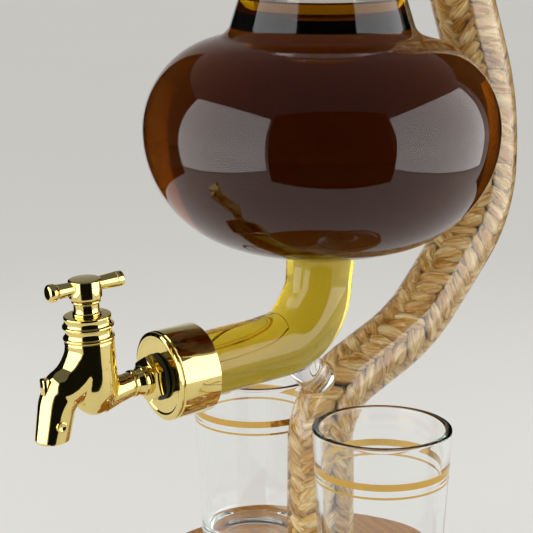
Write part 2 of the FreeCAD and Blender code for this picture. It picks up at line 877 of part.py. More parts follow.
def make_bonnet():
    """The ringed cap screwed into the barrel, its stem seal and the gland above it."""
    seal_floor = "(bonnet_top - stem_seal_height)"
    seal_bore = "(stem_seal_radius + seal_gap)"
    ring_low = "(bonnet_ring_rise - bonnet_ring_width / 2)"
    ring_high = "(bonnet_ring_rise + bonnet_ring_width / 2)"
    rim_high = "(barrel_top + bonnet_ring_width)"
    tap_node(
        "tap_bonnet",
        [
            (STEM_BORE, BONNET_FOOT),
            ("bonnet_spigot", BONNET_FOOT),
            ("bonnet_spigot", "barrel_top"),
            ("bonnet_ring", "barrel_top"),
            ("bonnet_ring", rim_high),
            ("bonnet_radius", rim_high),
            ("bonnet_radius", ring_low),
            ("bonnet_ring", ring_low),
            ("bonnet_ring", ring_high),
            ("bonnet_radius", ring_high),
            ("bonnet_radius", "bonnet_top"),
            (seal_bore, "bonnet_top"),
            (seal_bore, seal_floor),
            (STEM_BORE, seal_floor),
        ],
    )
    tap_node("stem_seal", ring_corners(STEM_BORE, "stem_seal_radius", seal_floor, "bonnet_top"))
    tap_node(
        "packing_gland",
        [
            (STEM_BORE, "bonnet_top"),
            ("gland_ring", "bonnet_top"),
            ("gland_ring", "(bonnet_top + gland_ring_width)"),
            ("gland_radius", "(bonnet_top + gland_ring_width)"),
            ("gland_radius", "(gland_top - gland_ring_width)"),
            ("gland_ring", "(gland_top - gland_ring_width)"),
            ("gland_ring", "gland_top"),
            (STEM_BORE, "gland_top"),
        ],
    )


def seal_levels():
    """The lower face of each of the plug's two seals."""
    low = "(-plug_bottom + seal_offset / 2)"
    high = f"({PLUG_TOP} - seal_offset / 2 - seal_section)"
    return low, high


def make_valve():
    """The turning plug with its cross bore and two seals, and the stem above it."""
    body = new_body("valve_plug")
    groove = "(plug_radius - seal_section)"
    corners = [("0", "-plug_bottom"), ("plug_radius", "-plug_bottom")]
    for level in seal_levels():
        top = f"({level} + seal_section)"
        corners.append(("plug_radius", level))
        corners.append((groove, level))
        corners.append((groove, top))
        corners.append(("plug_radius", top))
    corners.append(("plug_radius", PLUG_TOP))
    corners.append(("0", PLUG_TOP))
    turn(body, "plug", corners)
    doc.recompute()
    hole = new_sketch(body, "XZ_Plane", "plug_hole")
    draw_circle(hole, "plug_bore")
    doc.recompute()
    cut = body.newObject("PartDesign::Pocket", "cross_bore")
    cut.Profile = hole
    cut.Midplane = True
    cut.setExpression("Length", bound("4 * plug_radius"))
    on_tap(body)
    seals = new_body("plug_seals")
    for count, level in enumerate(seal_levels()):
        ring = ring_corners(groove, "plug_radius", level, f"({level} + seal_section)")
        turn(seals, f"seal_{count}", ring)
        doc.recompute()
    on_tap(seals)
    stem_top = "(bar_rise - bar_root_radius)"
    tap_node("valve_stem", ring_corners("0", "stem_radius", PLUG_TOP, stem_top))


def make_handle():
    """The hub on the stem, the cross bar through it and the bar's two end caps."""
    hub = tap_node(
        "handle_hub",
        [
            ("0", "(bar_rise - bar_root_radius)"),
            ("stem_radius", "(bar_rise - bar_root_radius)"),
            ("stem_radius", HUB_FOOT),
            ("hub_radius", HUB_FOOT),
            ("hub_radius", f"({HUB_FOOT} + hub_height)"),
            ("0", f"({HUB_FOOT} + hub_height)"),
        ],
    )
    doc.recompute()
    cross = new_sketch(hub, "YZ_Plane", "hub_cross_hole")
    draw_circle(cross, "bar_root_radius", y="bar_rise")
    doc.recompute()
    cut = hub.newObject("PartDesign::Pocket", "hub_cross_bore")
    cut.Profile = cross
    cut.Midplane = True
    cut.setExpression("Length", bound("4 * hub_radius"))
    bar = new_body("handle_bar")
    neck = "(bar_end_radius - bar_groove)"
    shoulder = "(bar_half_length - bar_groove)"
    turn(
        bar,
        "bar",
        [
            ("-bar_half_length", "0"),
            ("-bar_half_length", neck),
            (f"-{shoulder}", neck),
            (f"-{shoulder}", "bar_end_radius"),
            ("-hub_radius", "bar_root_radius"),
            ("hub_radius", "bar_root_radius"),
            (shoulder, "bar_end_radius"),
            (shoulder, neck),
            ("bar_half_length", neck),
            ("bar_half_length", "0"),
        ],
        axis="H_Axis",
    )
    on_handle(bar)
    end = "(bar_half_length + bar_cap_length)"
    for node, side in (("bar_cap_front", "-"), ("bar_cap_rear", "")):
        cap = new_body(node)
        turn(
            cap,
            f"{node}_solid",
            [
                (f"{side}bar_half_length", "0"),
                (f"{side}bar_half_length", "bar_end_radius"),
                (f"{side}{end}", "bar_end_radius", "bar_cap_round"),
                (f"{side}{end}", "0"),
            ],
            axis="H_Axis",
        )
        on_handle(cap)


def on_handle(body):
    """The cross bar's frame: the tap's frame raised to the bar."""
    place(
        body,
        x=f"{TAP_X} - bar_rise * sin(outlet_dip)",
        z=f"{TAP_Z} + bar_rise * cos(outlet_dip)",
        dip="outlet_dip",
    )


# Glasses and stopper ------------------------------------------------------------------


def make_shot_glass(node, side):
    """A heavy-footed tapered glass that stands on the base beside the tube."""
    body = new_body(node)
    taper = "((glass_top_radius - glass_foot_radius) / glass_height)"
    turn(
        body,
        f"{node}_solid",
        [
            ("0", "0"),
            ("(glass_foot_radius - glass_foot_round)", "0"),
            (f"(glass_foot_radius + glass_foot_round * {taper})", "glass_foot_round"),
            ("glass_top_radius", "glass_height"),
            ("(glass_top_radius - glass_wall)", "glass_height"),
            (f"(glass_foot_radius - glass_wall + glass_floor * {taper})", "glass_floor"),
            ("0", "glass_floor"),
        ],
    )
    place(body, x="-glass_shift", y=f"{side}glass_offset", z=f"{BASE_TOP} + rest_gap")


def make_stopper():
    """A tapered cork under a turned wooden cap, which lifts out of the neck."""
    top = f"({LIP_TOP} + rest_gap)"
    bore = "(cap_spigot_radius + glue_gap)"
    cork = f"({MOUTH_RADIUS} - cork_gap)"
    turned_node(
        "stopper_cork",
        [
            ("0", f"{top} - cork_length"),
            (f"({cork} - cork_taper)", f"{top} - cork_length"),
            (cork, top),
            (bore, top),
            (bore, f"{top} - cap_spigot_length - glue_gap"),
            ("0", f"{top} - cap_spigot_length - glue_gap"),
        ],
    )
    turned_node(
        "stopper_cap",
        [
            ("0", f"{top} - cap_spigot_length"),
            ("cap_spigot_radius", f"{top} - cap_spigot_length"),
            ("cap_spigot_radius", top),
            ("cap_radius", top, "cap_round"),
            ("cap_radius", f"{top} + cap_height", "cap_round"),
            ("0", f"{top} + cap_height"),
        ],
    )


# The whole ----------------------------------------------------------------------------

make_base_felt()
make_wooden_base()
make_tube_seat_bush()
make_foot_plug()
tube_envelope = make_stand_tube()
make_braided_plait()
make_glass_globe()
neck_envelope = make_glass_neck()
outlet_envelope = make_outlet_elbow()
make_stubs(neck_envelope, outlet_envelope, tube_envelope)
make_collar()
make_outlet_bung()
make_clamp()
make_tap_body()
make_bonnet()
make_valve()
make_handle()
make_shot_glass("front_shot_glass", "-")
make_shot_glass("rear_shot_glass", "")
make_stopper()
doc.recompute()

for item in doc.Objects:
    if "Invalid" in item.State or "Error" in item.State:
        raise RuntimeError(f"{item.Label} did not build: {item.State}")
for node in nodes:
    shape = node.Shape
    if shape.isNull() or not shape.isValid():
        raise RuntimeError(f"{node.Label} has no valid shape")

os.makedirs("parts", exist_ok=True)
for node in nodes:
    node.Shape.exportStep(f"parts/{node.Label}.step")
    print(f"{node.Label:20s} solids {len(node.Shape.Solids)}  {node.Shape.Volume:10.1f} mm3")
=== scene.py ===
"""Looks of a blown glass drink dispenser with a gilt tap, a plaited stand tube and two glasses."""

import json
import math
from collections import namedtuple

import bmesh
import bpy
from mathutils import Matrix, Vector, noise
from mathutils.bvhtree import BVHTree


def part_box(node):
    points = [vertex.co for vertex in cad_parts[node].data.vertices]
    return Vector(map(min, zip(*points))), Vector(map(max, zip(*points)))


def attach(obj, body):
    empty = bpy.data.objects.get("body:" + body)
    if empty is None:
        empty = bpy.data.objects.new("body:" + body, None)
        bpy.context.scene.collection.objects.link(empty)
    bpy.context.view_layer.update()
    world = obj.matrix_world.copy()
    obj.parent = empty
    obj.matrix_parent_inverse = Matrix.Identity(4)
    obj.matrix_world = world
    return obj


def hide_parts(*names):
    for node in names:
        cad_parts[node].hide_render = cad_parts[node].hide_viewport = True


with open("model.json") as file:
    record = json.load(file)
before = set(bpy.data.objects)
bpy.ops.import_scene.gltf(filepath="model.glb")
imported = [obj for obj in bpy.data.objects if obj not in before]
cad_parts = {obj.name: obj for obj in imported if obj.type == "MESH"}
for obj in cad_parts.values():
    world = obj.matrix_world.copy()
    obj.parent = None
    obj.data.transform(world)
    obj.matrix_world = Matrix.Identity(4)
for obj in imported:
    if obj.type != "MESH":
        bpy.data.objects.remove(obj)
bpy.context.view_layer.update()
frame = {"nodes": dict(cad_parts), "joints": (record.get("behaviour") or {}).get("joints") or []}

bl_info = {
    "name": "Globe Drink Dispenser",
    "version": (1, 0, 0),
    "blender": (4, 5, 0),
    "location": "View3D > Sidebar > Dispenser",
    "description": "Builds a glass dispenser with a gilt tap, a plaited stand tube and glasses",
    "category": "Add Mesh",
}

MM = 0.001
TURN_STEPS = 144
SMALL_STEPS = 96
ROUND_STEPS = 6
ARC_STEP = math.radians(3)
GLASS_IOR = 1.47
DRINK_IOR = 1.36
PLAIT_COLUMNS = 6

# How far single bights stray from an even plait, as shares and in radians.
STRAY_ALONG = 0.35
STRAY_ROUND = 0.25
STRAY_SIZE = 0.22
STRAY_LEAN = 0.45

# Lengths that several pieces share, in millimetres.
SHANK_HOLE = 4.1
STEM_HOLE = 2.25
BAR_LEVEL = 38.4
BAR_REACH = 11.6
TUMBLER_WALL = 2.6
TUMBLER_FOOT = 21.2
TUBE_CORNERS = ((0, 92.4), (43.8, 113.763), (79.3, 157.136), (79.3, 198.5))
TUBE_CROWN = 75.8
TUBE_LEAN = math.radians(19.4)
TUBE_BENDS = (28.0, 60.0, 50.0, 110.0)
OUTER_FILLET = 3.4
INNER_FILLET = 3.0
CORE_SINK = 0.6  # the plait's core lies this far inside the ring of its bights
WELD = 1e-4
WIDE_WELD = 1e-3

# Fused ends: how far along the bar, as a share, and how wide it is there.
FUSED_FLARE = ((0.4, 0.95), (0.8, 0.99), (0.93, 1.08), (1.0, 1.22))
FUSED_DEPTH = 0.25

# The outlet's glass is fuller from this far above its bend to this far after it.
GATHER_LEAD = 9.0
GATHER_TAIL = 10.0

# The camera: where it stands and looks, in metres, and its focal length in pixels of a frame.
CAMERA_SPOT = (-0.3583, -0.4948, 0.2897)
CAMERA_AIM = (0.5444, 0.8058, -0.2330)
FOCAL_PIXELS = 1698.3
FRAME_PIXELS = 533
SENSOR_WIDTH = 36

Arc = namedtuple("Arc", "x z turn")


def node_radius(node):
    low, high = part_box(node)
    return (high.y - low.y) / 2


# Sizes and colours --------------------------------------------------------------------


def length(name, description, default):
    return bpy.props.FloatProperty(
        name=name, description=description, default=default, min=0, unit="LENGTH", precision=5
    )


def number(name, description, default):
    return bpy.props.FloatProperty(name=name, description=description, default=default)


def colour(name, description, default):
    return bpy.props.StringProperty(name=name, description=description, default=default)


class DispenserVessel(bpy.types.PropertyGroup):
    """Sizes of the blown vessel and of what it holds."""

    equator: length("Equator", "Height of the globe's widest ring", 0.1947)
    globe_radius: length("Globe radius", "Largest radius of the globe", 0.0649)
    upper_height: length("Upper height", "Pole above the equator", 0.0386)
    lower_height: length("Lower height", "Pole below the equator", 0.0449)
    upper_bow: length("Upper bow", "Radius of the side's arc above the equator", 0.034)
    lower_bow: length("Lower bow", "Radius of the side's arc below the equator", 0.043)
    wall: length("Wall", "Thickness of the blown wall", 0.0024)
    neck_root: length("Neck root", "Radius where the neck leaves the globe", 0.0342)
    neck_radius: length("Neck radius", "Radius of the neck under its lip", 0.021)
    neck_bow: length("Neck bow", "Radius of the neck's hollow curve", 0.37)
    lip_foot: length("Lip foot", "Height of the lip's lower edge", 0.278)
    lip_top: length("Lip top", "Height of the lip's upper edge", 0.282)
    lip_radius: length("Lip radius", "Outer radius of the rolled lip", 0.024)
    spigot_radius: length("Spigot radius", "Radius where the spigot leaves the globe", 0.0131)
    spigot_foot: length("Spigot foot", "Height where the outlet begins", 0.1383)
    outlet_radius: length("Outlet radius", "Outer radius of the outlet", 0.0118)
    outlet_wall: length("Outlet wall", "Thickness of the outlet's wall", 0.002)
    outlet_height: length("Outlet height", "Height where the outlet's two runs cross", 0.1173)
    outlet_bend: length("Outlet bend", "Radius of the outlet's bend", 0.021)
    glass_end: length("Glass end", "Reach of the outlet's glass", 0.0667)
    drink_end: length("Drink end", "Reach of the drink in the outlet", 0.0587)
    drink_level: length("Drink level", "Height of the drink in the neck", 0.242)


class DispenserStand(bpy.types.PropertyGroup):
    """Sizes of the base, of the stand tube and of the plait in it."""

    tube_radius: length("Tube radius", "Outer radius of the stand tube", 0.012)
    tube_wall: length("Tube wall", "Thickness of the tube's wall", 0.0018)
    tube_foot: length("Tube foot", "Height of the tube's lower end", 0.010)
    plait_foot: length("Plait foot", "Height of the plait's lower end", 0.016)
    plait_radius: length("Plait radius", "Radius of the ring that the bights lie on", 0.0049)
    plait_shift: length(
        "Plait shift", "How far the plait lies towards the tube's outer side", 0.0006
    )
    bight_pitch: length(
        "Bight pitch", "Distance from one bight to the next along the plait", 0.0053
    )
    bight_length: length("Bight length", "Half length of one bight", 0.0064)
    bight_width: length("Bight width", "Half width of one bight", 0.0028)
    bight_height: length("Bight height", "Half thickness of one bight", 0.0026)
    bight_slant: number("Bight slant", "Degrees a bight leans from the plait's line", 36.0)
    plait_turn: number("Plait turn", "Degrees the plait is turned about its line", 36.0)
    stub_radius: length("Stub radius", "Radius of the fused lower bar", 0.0065)
    top_stub_radius: length("Top stub radius", "Radius of the fused upper bar", 0.006)
    base_round: length("Base round", "Rounding of the wooden base's edges", 0.004)


class DispenserColours(bpy.types.PropertyGroup):
    """Colours of the finishes, as sRGB hex values."""

    gold: colour("Gold", "Bright gold plating", "#F0DB8C")
    fired_gold: colour("Fired gold", "Gold bands fired on the glasses", "#E3B963")
    wood: colour("Wood", "Oiled hardwood, light grain", "#B87C28")
    wood_dark: colour("Wood pores", "Oiled hardwood, dark grain", "#7E4A12")
    husk: colour("Husk", "Dried fibre, mid tone", "#CA9A38")
    husk_pale: colour("Husk pale", "Dried fibre, bleached ridge", "#FAE9B4")
    # The dark husk colour: the fibre's dark streaks, and also the painted shade in the plait's
    # creases and on its core.
    husk_dark_and_crease_shade: colour("Husk dark", "Dried fibre, crease", "#361A03")
    cork: colour("Cork", "Cork, ground colour", "#C79A66")
    cork_dark: colour("Cork pores", "Cork, dark pores", "#6E4A2A")
    felt: colour("Felt", "Wool felt", "#33302C")
    rubber: colour("Rubber", "Black rubber", "#141414")
    silicone: colour("Silicone", "Clear silicone", "#E9E6DC")
    brass: colour("Brass", "Plain turned brass", "#B58B45")
    floor: colour("Floor", "Studio floor", "#E4E2DD")


def finish_colour(context, name):
    return from_hex(getattr(context.scene.dispenser_colours, name))


# Modelling ----------------------------------------------------------------------------


def mm(metres):
    return metres / MM


def outline(bm, moves, closed=False):
    """Draw an outline in the XZ plane. A corner is (x, z), or (x, z, cut) where it is rounded."""
    tip = None
    first = None
    rounds = []
    for move in moves:
        if isinstance(move, Arc):
            steps = max(2, math.ceil(abs(move.turn) / ARC_STEP))
            swung = bmesh.ops.spin(
                bm, geom=[tip], cent=(move.x, 0, move.z), axis=(0, -1, 0), dvec=(0, 0, 0),
                angle=move.turn, steps=steps, use_duplicate=False,
            )
            tip = next(part for part in swung["geom_last"] if isinstance(part, bmesh.types.BMVert))
            continue
        if tip is None:
            tip = bmesh.ops.create_vert(bm, co=(0, 0, 0))["vert"][0]
            first = tip
        else:
            tip = bmesh.ops.extrude_vert_indiv(bm, verts=[tip])["verts"][0]
        tip.co = (move[0], 0, move[1])
        if len(move) == 3:
            rounds.append((tip, move[2]))
    if closed:
        bm.edges.new((tip, first))
    for corner, cut in rounds:
        bmesh.ops.bevel(
            bm, geom=[corner], offset=cut, offset_type="OFFSET", segments=ROUND_STEPS, profile=0.5,
            affect="VERTICES", material=-1,
        )


def spin_full(bm, steps):
    bmesh.ops.spin(
        bm, geom=bm.verts[:] + bm.edges[:], cent=(0, 0, 0), axis=(0, 0, 1), dvec=(0, 0, 0),
        angle=math.tau, steps=steps, use_merge=True, use_duplicate=False,
    )


def turned(bm, moves, closed=False, steps=TURN_STEPS, place=None):
    """Turn an outline about Z, weld it, and put it in its place."""
    piece = bmesh.new()
    outline(piece, moves, closed)
    spin_full(piece, steps)
    join_in(bm, piece, place)


def turn_piece(name, moves, *given, place=None, closed=True, steps=TURN_STEPS, sharp=40):
    """Turn an outline about Z and make a finished piece of it."""
    bm = bmesh.new()
    turned(bm, moves, closed, steps, place)
    return add_piece(name, bm, *given, sharp=sharp)


def cut_off(bm, spot, way):
    """Cut away what lies beyond a plane, and give the edges of the cut."""
    cut = bmesh.ops.bisect_plane(
        bm, geom=bm.verts[:] + bm.edges[:] + bm.faces[:], plane_co=spot, plane_no=way,
        clear_outer=True,
    )
    rim = [part for part in cut["geom_cut"] if isinstance(part, bmesh.types.BMEdge)]
    if not rim:
        raise RuntimeError("a cut missed its piece")
    return rim


def join_in(bm, piece, place=None):
    """Weld a finished shell, point its faces outwards and add it to another."""
    bmesh.ops.remove_doubles(piece, verts=piece.verts, dist=WELD)
    bmesh.ops.recalc_face_normals(piece, faces=piece.faces)
    if place:
        bmesh.ops.transform(piece, matrix=place, verts=piece.verts)
    add_shell(bm, piece)


def add_shell(bm, piece):
    mesh = bpy.data.meshes.new("shell")
    piece.to_mesh(mesh)
    piece.free()
    bm.from_mesh(mesh)
    bpy.data.meshes.remove(mesh)


def make_route(corners, radii):
    """Straight legs with a tangent arc at each inner corner, as (x, z, heading, curve, length)."""
    spots = [Vector(corner) for corner in corners]
    headings = [math.atan2(b.y - a.y, b.x - a.x) for a, b in zip(spots, spots[1:])]
    route = []
    here = spots[0]
    for corner, before, after, radius in zip(spots[1:-1], headings, headings[1:], radii):
        bend = after - before
        reach = radius * math.tan(abs(bend) / 2)
        entry = corner - reach * Vector((math.cos(before), math.sin(before)))
        route.append((here.x, here.y, before, 0.0, (entry - here).length))
        route.append(
            (entry.x, entry.y, before, math.copysign(1 / radius, bend), radius * abs(bend))
        )
        here = corner + reach * Vector((math.cos(after), math.sin(after)))
    route.append((here.x, here.y, headings[-1], 0.0, (spots[-1] - here).length))
    return route


def along(route, distance):
    """The frame at a distance along a route: its Z axis leads on, its Y axis is the scene's."""
    for x, z, heading, curve, reach in route:
        if distance <= reach or (x, z, heading, curve, reach) == route[-1]:
            break
        distance -= reach
    turned_by = heading + curve * distance
    if curve:
        x += (math.sin(turned_by) - math.sin(heading)) / curve
        z += (math.cos(heading) - math.cos(turned_by)) / curve
    else:
        x += distance * math.cos(heading)
        z += distance * math.sin(heading)
    tilt = Matrix.Rotation(math.pi / 2 - turned_by, 4, "Y")
    return Matrix.Translation((x, 0, z)) @ tilt


def route_length(route):
    return sum(leg[4] for leg in route)


def stations(route, turn_step=math.radians(4)):
    """Distances along a route: close steps in its bends and wider ones in its straight legs."""
    marks = [0.0]
    for leg in route:
        steps = max(1, math.ceil(abs(leg[3]) * leg[4] / turn_step), math.ceil(leg[4] / 8))
        start = marks[-1]
        marks.extend(start + leg[4] * i / steps for i in range(1, steps + 1))
    return marks


def carry(bm, ring, places):
    """Extrude a ring of edges from place to place, and give the last ring."""
    for before, after in zip(places, places[1:]):
        made = bmesh.ops.extrude_edge_only(bm, edges=ring)["geom"]
        verts = [part for part in made if isinstance(part, bmesh.types.BMVert)]
        ring = [part for part in made if isinstance(part, bmesh.types.BMEdge)]
        bmesh.ops.transform(bm, matrix=after @ before.inverted(), verts=verts)
    return ring


def ring_at(bm, radius, place, steps=64):
    """A circle of edges across a place's Z axis."""
    verts = bmesh.ops.create_circle(bm, radius=radius, segments=steps)["verts"]
    bmesh.ops.transform(bm, matrix=place, verts=verts)
    return list({edge for vert in verts for edge in vert.link_edges})


def swept(bm, route, stops):
    """A closed solid led along a route, with a radius at each share of its length."""
    total = route_length(route)
    places = [along(route, total * share) @ Matrix.Scale(radius, 4) for share, radius in stops]
    ring = ring_at(bm, 1.0, places[0])
    close_ring(bm, ring)
    close_ring(bm, carry(bm, ring, places))


def boundary(bm):
    return [edge for edge in bm.edges if edge.is_boundary]


def loops_of(edges):
    """Split edges into connected loops."""
    left = set(edges)
    loops = []
    while left:
        loop = [left.pop()]
        reach = list(loop)
        while reach:
            edge = reach.pop()
            for vert in edge.verts:
                for other in vert.link_edges:
                    if other in left:
                        left.remove(other)
                        loop.append(other)
                        reach.append(other)
        loops.append(loop)
    return loops


def close_ring(bm, ring):
    bmesh.ops.contextual_create(bm, geom=ring)


def dome(bm, ring, place, radius, steps=12):
    """Round a tube's end off with half a ball."""
    places = []
    for i in range(steps + 1):
        angle = math.pi / 2 * i / steps
        size = max(math.cos(angle), 0.01)
        lift = Matrix.Translation((0, 0, radius * math.sin(angle)))
        places.append(place @ lift @ Matrix.Diagonal((size, size, size, 1)))
    close_ring(bm, carry(bm, ring, places))


def add_piece(name, bm, body, material, slot, *nodes, sharp=35):
    """Make a finished object of a mesh drawn in millimetres, hang it on its body, and hide the CAD
    nodes that it stands for.
    """
    bmesh.ops.scale(bm, vec=(MM, MM, MM), verts=bm.verts)
    mesh = bpy.data.meshes.new(name)
    bm.to_mesh(mesh)
    bm.free()
    mesh.shade_smooth()
    if sharp:
        mesh.set_sharp_from_angle(angle=math.radians(sharp))
    mesh.materials.append(material)
    piece = bpy.data.objects.new(name, mesh)
    bpy.context.scene.collection.objects.link(piece)
    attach(piece, body)
    if nodes:
        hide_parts(*nodes)
    return piece


def finish_node(node, material):
    """Give a CAD node that stays in view its material."""
    piece = frame["nodes"][node]
    piece.data.materials.clear()
    piece.data.materials.append(material)


# Materials ----------------------------------------------------------------------------


def from_hex(text):
    """An sRGB hex value as linear red, green, blue and alpha."""
    parts = [int(text[i : i + 2], 16) / 255 for i in (1, 3, 5)]
    return (*(c / 12.92 if c <= 0.04045 else ((c + 0.055) / 1.055) ** 2.4 for c in parts), 1.0)


def shaded(shade, share):
    """A colour made darker by a share."""
    return (*(part * share for part in shade[:3]), 1)


def add_node(tree, kind, inputs=None, stops=None, **settings):
    """Add a shader node with its settings, its inputs and its colour stops.

    An input is a number or colour, a socket, or a node that stands for its first output.
    """
    node = tree.nodes.new(f"ShaderNode{kind}")
    for name, setting in settings.items():
        setattr(node, name, setting)
    if stops:
        ramp = node.color_ramp
        while len(ramp.elements) < len(stops):
            ramp.elements.new(0.5)
        for element, (position, shade) in zip(ramp.elements, stops):
            element.position = position
            element.color = shade
    for name, given in (inputs or {}).items():
        if isinstance(given, bpy.types.Node):
            given = given.outputs[0]
        if isinstance(given, bpy.types.NodeSocket):
            tree.links.new(given, node.inputs[name])
        else:
            node.inputs[name].default_value = given
    return node


def new_material(name):
    material = bpy.data.materials.get(name)
    if material:
        return material, None
    material = bpy.data.materials.new(name)
    material.use_nodes = True
    material.node_tree.nodes.clear()
    return material, material.node_tree


def output(tree, surface, volume=None):
    inputs = {"Surface": surface}
    if volume:
        inputs["Volume"] = volume
    add_node(tree, "OutputMaterial", inputs)


def see_through(tree, surface, shadow_tint, depth_tint, density):
    """End the tree of glass or drink: its shadow is light, and depth colours it."""
    clear = add_node(tree, "BsdfTransparent", {"Color": shadow_tint})
    shadow = add_node(tree, "LightPath").outputs["Is Shadow Ray"]
    mixed = add_node(tree, "MixShader", {0: shadow, 1: surface, 2: clear})
    volume = None
    if density:
        depth = {"Color": depth_tint, "Density": density}
        volume = add_node(tree, "VolumeAbsorption", depth)
    output(tree, mixed, volume)


def blown_glass(name, tint, ripple, density=0.0, volume_tint=(1, 1, 1, 1), ior=GLASS_IOR):
    """Clear glass whose shadow is light, with the faint waves that blowing leaves in it."""
    material, tree = new_material(name)
    if tree is None:
        return material
    place = add_node(tree, "TexCoord").outputs["Object"]
    waves = add_node(
        tree, "TexNoise", {"Vector": place, "Scale": 55.0, "Detail": 1.0, "Roughness": 0.4}
    )
    bump = add_node(tree, "Bump", {"Height": waves, "Strength": ripple, "Distance": 0.0004})
    glass = add_node(
        tree, "BsdfPrincipled",
        {
            "Base Color": tint, "Roughness": 0.0, "IOR": ior, "Transmission Weight": 1.0,
            "Normal": bump,
        },
    )
    see_through(tree, glass, tint, volume_tint, density)
    return material


def borosilicate_glass():
    # Lamp-blown borosilicate: colourless and bright, its surface slightly wavy.
    return blown_glass("blown_borosilicate_glass", (1, 1, 1, 1), 0.08)


def soda_lime_glass():
    # Pressed soda-lime glass: thick parts and edges look blue-green.
    return blown_glass(
        "pressed_soda_lime_glass", (1, 1, 1, 1), 0.05, 6.0, (0.12, 0.62, 0.68, 1), 1.5
    )


def wetted_glass():
    # Glass under drink: the wall's face doesn't show, because the drink's own face bends the light.
    material, tree = new_material("wetted_glass")
    if tree is None:
        return material
    clear = add_node(tree, "BsdfTransparent", {"Color": (1, 1, 1, 1)})
    output(tree, clear)
    return material


def amber_drink():
    # Dark amber spirit: yellow where thin, orange at the rim, dark red-brown through the globe.
    # Its sides lie in glass, so there the light bends by the ratio of the two.
    material, tree = new_material("amber_spirit")
    if tree is None:
        return material
    sides = add_node(tree, "BsdfGlass", {"Roughness": 0.0, "IOR": DRINK_IOR / GLASS_IOR})
    top = add_node(tree, "BsdfGlass", {"Roughness": 0.0, "IOR": DRINK_IOR})
    share = add_node(tree, "Attribute", attribute_name="open_face").outputs["Fac"]
    liquid = add_node(tree, "MixShader", {0: share, 1: sides, 2: top})
    see_through(tree, liquid, (0.55, 0.26, 0.06, 1), (0.85, 0.7556, 0.0, 1), 180.0)
    return material


def gilt_metal(name, shade, roughness, ripple=0.06):
    """Plated metal: mirror bright, with a faint unevenness from polishing."""
    material, tree = new_material(name)
    if tree is None:
        return material
    place = add_node(tree, "TexCoord").outputs["Object"]
    broad = add_node(tree, "TexNoise", {"Vector": place, "Scale": 160.0, "Detail": 2.0})
    rough = add_node(
        tree, "MapRange", {"Value": broad, "To Min": roughness * 0.6, "To Max": roughness * 1.5}
    )
    bump = add_node(tree, "Bump", {"Height": broad, "Strength": ripple, "Distance": 0.0002})
    warm = add_node(tree, "Mix", {0: broad, 6: shade, 7: shaded(shade, 0.88)}, data_type="RGBA")
    metal = add_node(
        tree, "BsdfPrincipled",
        {"Base Color": warm.outputs[2], "Metallic": 1.0, "Roughness": rough, "Normal": bump},
    )
    output(tree, metal)
    return material


def gold_plating(context):
    # Bright gold plating over a polished brass casting: sharp, warm reflections.
    return gilt_metal("bright_gold_plating", finish_colour(context, "gold"), 0.05)


def fired_gold(context):
    # Liquid gold fired onto glass: thin, bright and a little uneven.
    return gilt_metal("fired_gold_band", finish_colour(context, "fired_gold"), 0.06, 0.1)


def plain_brass(context):
    # Turned brass: duller than the plating, with a soft satin shine.
    return gilt_metal("turned_brass", finish_colour(context, "brass"), 0.28, 0.2)


def oiled_hardwood(context):
    # Turned and oiled hardwood: straight grain 2 to 3 mm wide, fine dark pores, low sheen.
    material, tree = new_material("oiled_hardwood")
    if tree is None:
        return material
    place = add_node(tree, "TexCoord").outputs["Object"]
    stretch = add_node(tree, "Mapping", {"Vector": place, "Scale": (1.0, 0.09, 1.0)})
    warp = add_node(
        tree, "TexNoise", {"Vector": stretch, "Scale": 70.0, "Detail": 4.0, "Distortion": 0.6}
    )
    grain = add_node(
        tree, "TexWave",
        {"Vector": stretch, "Scale": 60.0, "Distortion": 9.0, "Detail": 3.0, "Detail Scale": 1.2},
        bands_direction="X",
    )
    fine = add_node(tree, "Mapping", {"Vector": place, "Scale": (1.0, 0.05, 1.0)})
    pores = add_node(
        tree, "TexNoise", {"Vector": fine, "Scale": 1400.0, "Detail": 2.0, "Roughness": 0.6}
    )
    light = finish_colour(context, "wood")
    dark = finish_colour(context, "wood_dark")
    bands = add_node(tree, "Mix", {0: grain.outputs["Fac"], 6: light, 7: dark}, data_type="RGBA")
    soft = add_node(tree, "Mix", {0: 0.55, 6: bands.outputs[2], 7: light}, data_type="RGBA")
    patch = add_node(
        tree, "ValToRGB", {"Fac": warp}, [(0.3, (0.8, 0.8, 0.8, 1)), (0.7, (1.08, 1.05, 1.0, 1))]
    )
    toned = add_node(
        tree, "Mix", {0: 1.0, 6: soft.outputs[2], 7: patch}, data_type="RGBA", blend_type="MULTIPLY"
    )
    pore_mask = add_node(
        tree, "ValToRGB", {"Fac": pores}, [(0.30, (0.55, 0.5, 0.45, 1)), (0.42, (1, 1, 1, 1))]
    )
    skin = add_node(
        tree, "Mix", {0: 0.7, 6: toned.outputs[2], 7: pore_mask}, data_type="RGBA",
        blend_type="MULTIPLY",
    )
    bump = add_node(tree, "Bump", {"Height": pore_mask, "Strength": 0.35, "Distance": 0.0002})
    rough = add_node(tree, "MapRange", {"Value": warp, "To Min": 0.36, "To Max": 0.52})
    wood = add_node(
        tree, "BsdfPrincipled",
        {
            "Base Color": skin.outputs[2], "Roughness": rough, "Normal": bump, "Coat Weight": 0.15,
            "Coat Roughness": 0.25,
        },
    )
    output(tree, wood)
    return material


